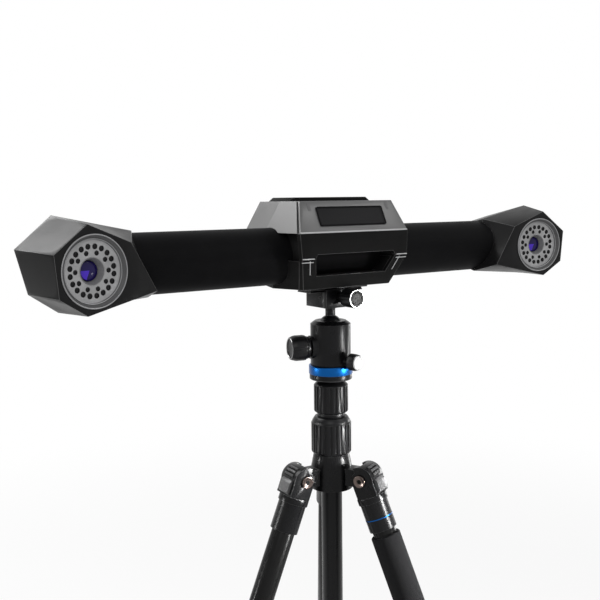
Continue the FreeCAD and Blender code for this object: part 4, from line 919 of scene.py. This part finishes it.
class SCANNER_OT_knobs(bpy.types.Operator):
    """Model the three knobs of the ball head with their caps"""
    bl_idname = "scanner.knobs"
    bl_label = "Knobs"

    def execute(self, context):
        self.main_knob()
        self.pan_knob()
        self.clamp_knob()
        return {"FINISHED"}

    def main_knob(self):
        """Large locking knob: flared collar, broad grip grooves and a hollow dark cap."""
        body = "main_lock_knob"
        place = knob_place("main_lock_turn")
        rubber_grip("main_knob_grip", [
            (5, 21), (5, 37.2), (15.5, 37.2), (16.5, 38), (18.6, 42), (18.8, 44.5),
            (19.6, 45.2), (20.6, 46.4), (21, 48), (21, 62), (20.6, 64), (19.4, 68),
            (18.2, 70.6), (17.2, 71.2), (16.4, 70.9), (15.6, 69.6), (0.2, 68.9)],
            96, place, body, body, 0.3, (8, 46, 66, 0.9, 0.24))
        turned_part("main_knob_cap", [
            (15.8, 69.0), (15.8, 69.8), (15.2, 69.9), (12, 69.4), (6, 69.15), (0.2, 69.1)],
            place, "cap_dark", body, "panel_black")
        turned_part("main_knob_rim", [
            (17.4, 70.2), (17.4, 71.0), (17.0, 71.5), (16.4, 71.4), (15.9, 70.7),
            (15.9, 69.2), (17.4, 70.2)], place, "chrome", body, "ring_silver", closed=True)

    def pan_knob(self):
        """Small locking knob with flat-sided grip and a pale cap."""
        body = "pan_lock_knob"
        place = knob_place("pan_lock_turn")
        rubber_grip("pan_knob_grip", [
            (3, 21), (3, 38.2), (10.2, 38.2), (11.2, 39), (13.6, 42.6), (14, 43.6),
            (14, 54.6), (13.4, 55.8), (12.4, 56.4), (0.2, 56.6)],
            9, place, body, body, 0.5, sharp=20)
        turned_part("pan_knob_cap", [
            (11.4, 55), (11.4, 57.2), (11, 57.8), (10.2, 58.1), (9.2, 57.7), (5, 57.5),
            (0.2, 57.5)], place, "cap_pale", body, "alloy")

    def clamp_knob(self):
        """Clamp knob: slim barrel, grooved grip, chrome ring and a bare dark cap."""
        body = "clamp_knob"
        place = knob_place("clamp_knob_turn")
        rubber_grip("clamp_knob_grip", [
            (3, -28), (3, 0), (7.5, 0), (7.5, 10.5), (8.2, 11.2), (12.6, 13.6), (14.4, 16),
            (15, 18), (15, 39.6), (14.9, 41), (14.5, 41.6), (13.6, 41.8), (0.2, 41.8)],
            84, place, body, body, 0.25, (14, 16.5, 38, 0.7, 0.4))
        turned_part("clamp_knob_ring", [
            (14.4, 41.2), (14.4, 42.3), (14.0, 42.8), (13.3, 42.8), (12.8, 42.3),
            (12.8, 41.2), (14.4, 41.2)], place, "chrome", body, "ring_silver", closed=True)
        turned_part("clamp_knob_cap", [
            (12.7, 41.4), (12.7, 42), (9.9, 42.1), (9.6, 42.5), (9.1, 42.6), (8.7, 42.2),
            (0.2, 42.2)], place, "cap_dark", body, "panel_black")


class SCANNER_OT_legs(bpy.types.Operator):
    """Dress the legs: castings, tabs, bolts, rings and grips"""
    bl_idname = "scanner.legs"
    bl_label = "Legs"

    def execute(self, context):
        for name in LEGS:
            place = leg_place(name)
            # The casting edge finish paints highlights on the casting's rounded edges
            dressed("leg_casting_" + name, "casting", 0.8 * MM, "casting_edge_highlight")
            for node, finish, width in (
                    ("angle_tab_", "alloy", 0.9), ("leg_upper_", "leg", 0.3),
                    ("leg_lower_", "leg", 0.3), ("leg_foot_", "rubber", 0.6)):
                dressed(node + name, finish, width * MM)
            self.leg_grip(name, place)
            self.casting_ribs(name, place)
        self.bolts()
        turned_part("leg_blue_ring", [
            (23.02, -67.6), (23.3, -67.5), (23.3, -66.1), (23.02, -66.0), (23.02, -67.6)],
            leg_place("front"), "blue", "leg_front", "ring_blue", vertices=96, closed=True)
        return {"FINISHED"}

    def bolts(self):
        """Pivot bolts: a shank, and at each end a round head with a flat dark hexagon on it, painted shade in
        place of a socket hole.
        """
        reach = 22.2
        bolt = smooth(turned("pivot_bolt", in_mm([
            (6, -reach), (6, reach), (10.2, reach), (10.2, reach + 2.2), (9.8, reach + 2.9),
            (9, reach + 3.1), (8.2, reach + 2.8), (5.2, reach + 1.9), (4.6, reach + 2.2),
            (4.2, reach + 2.1), (0.2, reach + 2)]), 48))
        # A flat near-black hexagon: painted shade standing for the socket hole
        socket = turned("bolt_socket", in_mm([
            (3.9, reach + 1.8), (3.9, reach + 2.35), (0.2, reach + 2.35)]), 6)
        flip = Matrix.Rotation(math.pi, 4, "X")
        places = []
        for name in LEGS:
            fold = joint("leg_%s_fold" % name)
            across = basis(fold["axis"], (0, 0, 1), fold["pos_m"])
            places += [across, across @ flip]
        finish_piece(joined("pivot_bolts_turned", copies(bolt, places)), "steel", "tripod",
                     "steel", "pivot_bolts")
        finish_piece(joined("bolt_sockets", copies(socket, places)), "socket", "tripod",
                     "anodised_black")

    def casting_ribs(self, name, place):
        """Three level ribs over the rounded top of a leg's casting, lighter than the casting as a painted
        highlight, each on a dark bed of painted groove shade.
        """
        rib = slab("rib", 25 * MM, 3.6 * MM, 2 * MM, 0.6 * MM)
        shade_bed = slab("rib_bed", 28 * MM, 6.4 * MM, 0.5 * MM, 0.1 * MM)
        upright = Matrix.Rotation(QUARTER, 4, "Y") @ Matrix.Rotation(QUARTER, 4, "Z")
        level = Matrix.Translation((22.7 * MM, 0, 0)) @ upright
        spots = [place @ Matrix.Rotation(math.radians(-rise), 4, "Y") @ level
                 for rise in (9, 25, 41)]
        # Ribs wear a lighter finish as painted highlight; beds wear a near-black one as painted groove shade
        for label, piece, finish in (("casting_ribs_", rib, "rib"),
                                     ("casting_beds_", shade_bed, "socket")):
            finish_piece(joined(label + name, copies(piece, spots)), finish, "leg_" + name,
                         "anodised_black")

    def leg_grip(self, name, place):
        """Fluted twist grip between the two sections of a leg."""
        node = "leg_lock_" + name
        flutes = 20
        rubber_grip(node + "_grip", [
            (19.5, -400), (22.5, -400), (23.6, -401), (24, -403), (24, -447), (23.4, -450),
            (21, -454), (20, -455), (16.3, -455), (16.3, -430.3), (19.5, -430.3),
            (19.5, -400)], flutes * 6, place, "leg_grip_" + name, node, 0.3,
            (flutes, -446, -404, 1.0, 0.45), closed=True)


class SCANNER_OT_stand(bpy.types.Operator):
    """Round the edges of the clamp, the ball head, the column, the crown and the foam grip"""
    bl_idname = "scanner.stand"
    bl_label = "Clamp, ball head and column"

    def execute(self, context):
        for node, finish, width in (
                ("quick_plate", "anodised", 0.5), ("clamp_body", "anodised", 0.6),
                ("clamp_jaw", "anodised", 0.6), ("ball_stem", "anodised", 0.4),
                ("ball_housing", "anodised", 0.6), ("pan_base", "anodised", 0.5),
                ("pan_ring", "blue", 0.3), ("inner_column", "anodised", 0.4),
                ("outer_column", "anodised", 0.4), ("column_hook", "anodised", 0.4),
                ("crown", "casting", 0.8), ("mount_screw", "steel", 0.3),
                ("foam_grip", "foam", 0.8)):
            # Anodised and cast parts get the casting edge finish: painted highlights on their rounded edges
            edge = "casting_edge_highlight" if finish in ("anodised", "casting") else None
            dressed(node, finish, width * MM, edge)
        return {"FINISHED"}


class SCANNER_OT_stage(bpy.types.Operator):
    """Set the floor, the lights and the camera"""
    bl_idname = "scanner.stage"
    bl_label = "Stage"

    def execute(self, context):
        deselect()
        bpy.ops.mesh.primitive_plane_add(size=60, location=(0, 0, 0))
        floor = newest("studio_floor")
        floor.data.materials.append(backdrop("Studio floor", 0.85))
        self.world(context.scene)
        bar = middle("crossbar_tube")
        left_head = bar - Vector((0.47, 0, 0))
        legs = Vector((0, 0, 0.38))
        # Each light's name, place, aim, width, height, power in watts and spread in degrees
        for row in (
                ("key_light", (-0.95, 1.15, 2.1), left_head, 1.3, 1.1, 34, 180),
                ("right_light", (0.8, -1.12, 0.4), legs, 0.2, 0.5, 2.8, 30),
                ("left_strip", (-1.35, 0.65, 0.38), legs, 0.12, 0.6, 0.35, 30),
                ("rim_light", (1.4, 0.26, 0.38), legs, 0.15, 0.6, 0.2, 30),
                ("fill_light", (1.3, -1.4, 2.2), bar, 1.0, 0.8, 9, 180),
                ("front_light", (-1.8, -1.9, 2.3), bar, 1.4, 1.2, 16, 180)):
            self.light(*row)
        self.camera(context.scene, bar)
        context.scene.view_settings.view_transform = "Standard"
        return {"FINISHED"}

    def world(self, scene):
        """Soft surrounding light, and white where the camera or a mirror sees past the floor."""
        world = bpy.data.worlds.new("Studio")
        scene.world = world
        world.use_nodes = True
        tree = world.node_tree
        tree.nodes.clear()
        light, white = (add_node(tree, "Background", {
            "Color": (1, 1, 1, 1), "Strength": strength}) for strength in (0.3, 1.0))
        mix = add_node(tree, "MixShader")
        target = add_node(tree, "OutputWorld")
        wire(tree, (seen_rays(tree), 0, mix, "Fac"), (light, 0, mix, 1), (white, 0, mix, 2),
             (mix, 0, target, "Surface"))

    def light(self, name, position, aim, width, height, power, spread):
        bpy.ops.object.light_add(type="AREA", location=position)
        light = bpy.context.object
        light.name = name
        light.data.shape = "RECTANGLE"
        light.data.size = width
        light.data.size_y = height
        light.data.energy = power
        light.data.spread = math.radians(spread)
        ray = aim - Vector(position)
        light.rotation_euler = ray.to_track_quat("-Z", "Y").to_euler()

    def camera(self, scene, bar):
        """The photograph's viewpoint, worked out from the crossbar's middle."""
        stands = bar + Vector((-0.82598, -1.12041, 0.08887))
        yaw, pitch, roll = math.radians(34.589), math.radians(6.783), math.radians(-0.704)
        turn = (Matrix.Rotation(-yaw, 4, "Z") @ Matrix.Rotation(QUARTER - pitch, 4, "X")
                @ Matrix.Rotation(roll, 4, "Z"))
        bpy.ops.object.camera_add()
        camera = bpy.context.object
        camera.name = "photo_camera"
        camera.data.sensor_width = 36
        camera.data.lens = 50.853
        camera.matrix_world = Matrix.Translation(stands) @ turn
        scene.camera = camera


def seen_rays(tree):
    """A node that gives one where a ray comes from the camera, a mirror or a glass."""
    path = add_node(tree, "LightPath")
    mirror = add_node(tree, "Math", operation="MAXIMUM")
    glass = add_node(tree, "Math", operation="MAXIMUM")
    wire(tree, (path, "Is Camera Ray", mirror, 0), (path, "Is Glossy Ray", mirror, 1),
         (mirror, 0, glass, 0), (path, "Is Transmission Ray", glass, 1))
    return glass


def backdrop(name, tone):
    """A pale floor that keeps the shadow near the object and fades to white round it."""
    material, shader = base_finish(name, (tone, tone, tone), 0.9, specular=0.0)
    tree = material.node_tree
    where = add_node(tree, "TexCoord")
    reach = add_node(tree, "VectorMath", operation="LENGTH")
    fade = add_node(tree, "MapRange", {
        "From Min": 0.8, "From Max": 2.2, "To Min": 0.86}, interpolation_type="SMOOTHSTEP")
    glow = add_node(tree, "Emission")
    mix = add_node(tree, "MixShader")
    seen = add_node(tree, "Math", operation="MULTIPLY")
    wire(tree, (where, "Object", reach, 0), (reach, "Value", fade, "Value"),
         (seen_rays(tree), 0, seen, 0), (fade, "Result", seen, 1), (seen, 0, mix, "Fac"),
         (shader, 0, mix, 1), (glow, 0, mix, 2),
         (mix, 0, tree.nodes["Material Output"], "Surface"))
    return material


PIECES = (SCANNER_OT_shells, SCANNER_OT_lamps, SCANNER_OT_lenses, SCANNER_OT_rings,
          SCANNER_OT_hub_trim, SCANNER_OT_panel, SCANNER_OT_crossbar, SCANNER_OT_grips,
          SCANNER_OT_knobs, SCANNER_OT_legs, SCANNER_OT_stand, SCANNER_OT_stage)


class SCANNER_PT_pieces(bpy.types.Panel):
    """Lists the scanner's pieces in the sidebar"""
    bl_label = "Scanner"
    bl_idname = "SCANNER_PT_pieces"
    bl_space_type = "VIEW_3D"
    bl_region_type = "UI"
    bl_category = "Scanner"

    def draw(self, context):
        for piece in PIECES:
            self.layout.operator(piece.bl_idname)
        for group in (context.scene.scanner_sizes, context.scene.scanner_colours):
            for name in group.bl_rna.properties.keys():
                if name not in ("name", "rna_type"):
                    self.layout.prop(group, name)


CLASSES = (ScannerSizes, ScannerColours, *PIECES, SCANNER_PT_pieces)


def register():
    for item in CLASSES:
        bpy.utils.register_class(item)
    bpy.types.Scene.scanner_sizes = bpy.props.PointerProperty(type=ScannerSizes)
    bpy.types.Scene.scanner_colours = bpy.props.PointerProperty(type=ScannerColours)


def unregister():
    del bpy.types.Scene.scanner_colours
    del bpy.types.Scene.scanner_sizes
    for item in reversed(CLASSES):
        bpy.utils.unregister_class(item)


def main():
    register()
    scene = bpy.context.scene
    finishes.update(make_finishes(scene.scanner_colours, scene.scanner_sizes))
    bpy.ops.scanner.shells()
    bpy.ops.scanner.lamps()
    bpy.ops.scanner.lenses()
    bpy.ops.scanner.rings()
    bpy.ops.scanner.hub_trim()
    bpy.ops.scanner.panel()
    bpy.ops.scanner.crossbar()
    bpy.ops.scanner.grips()
    bpy.ops.scanner.knobs()
    bpy.ops.scanner.legs()
    bpy.ops.scanner.stand()
    bpy.ops.scanner.stage()


if __name__ == "__main__":
    main()
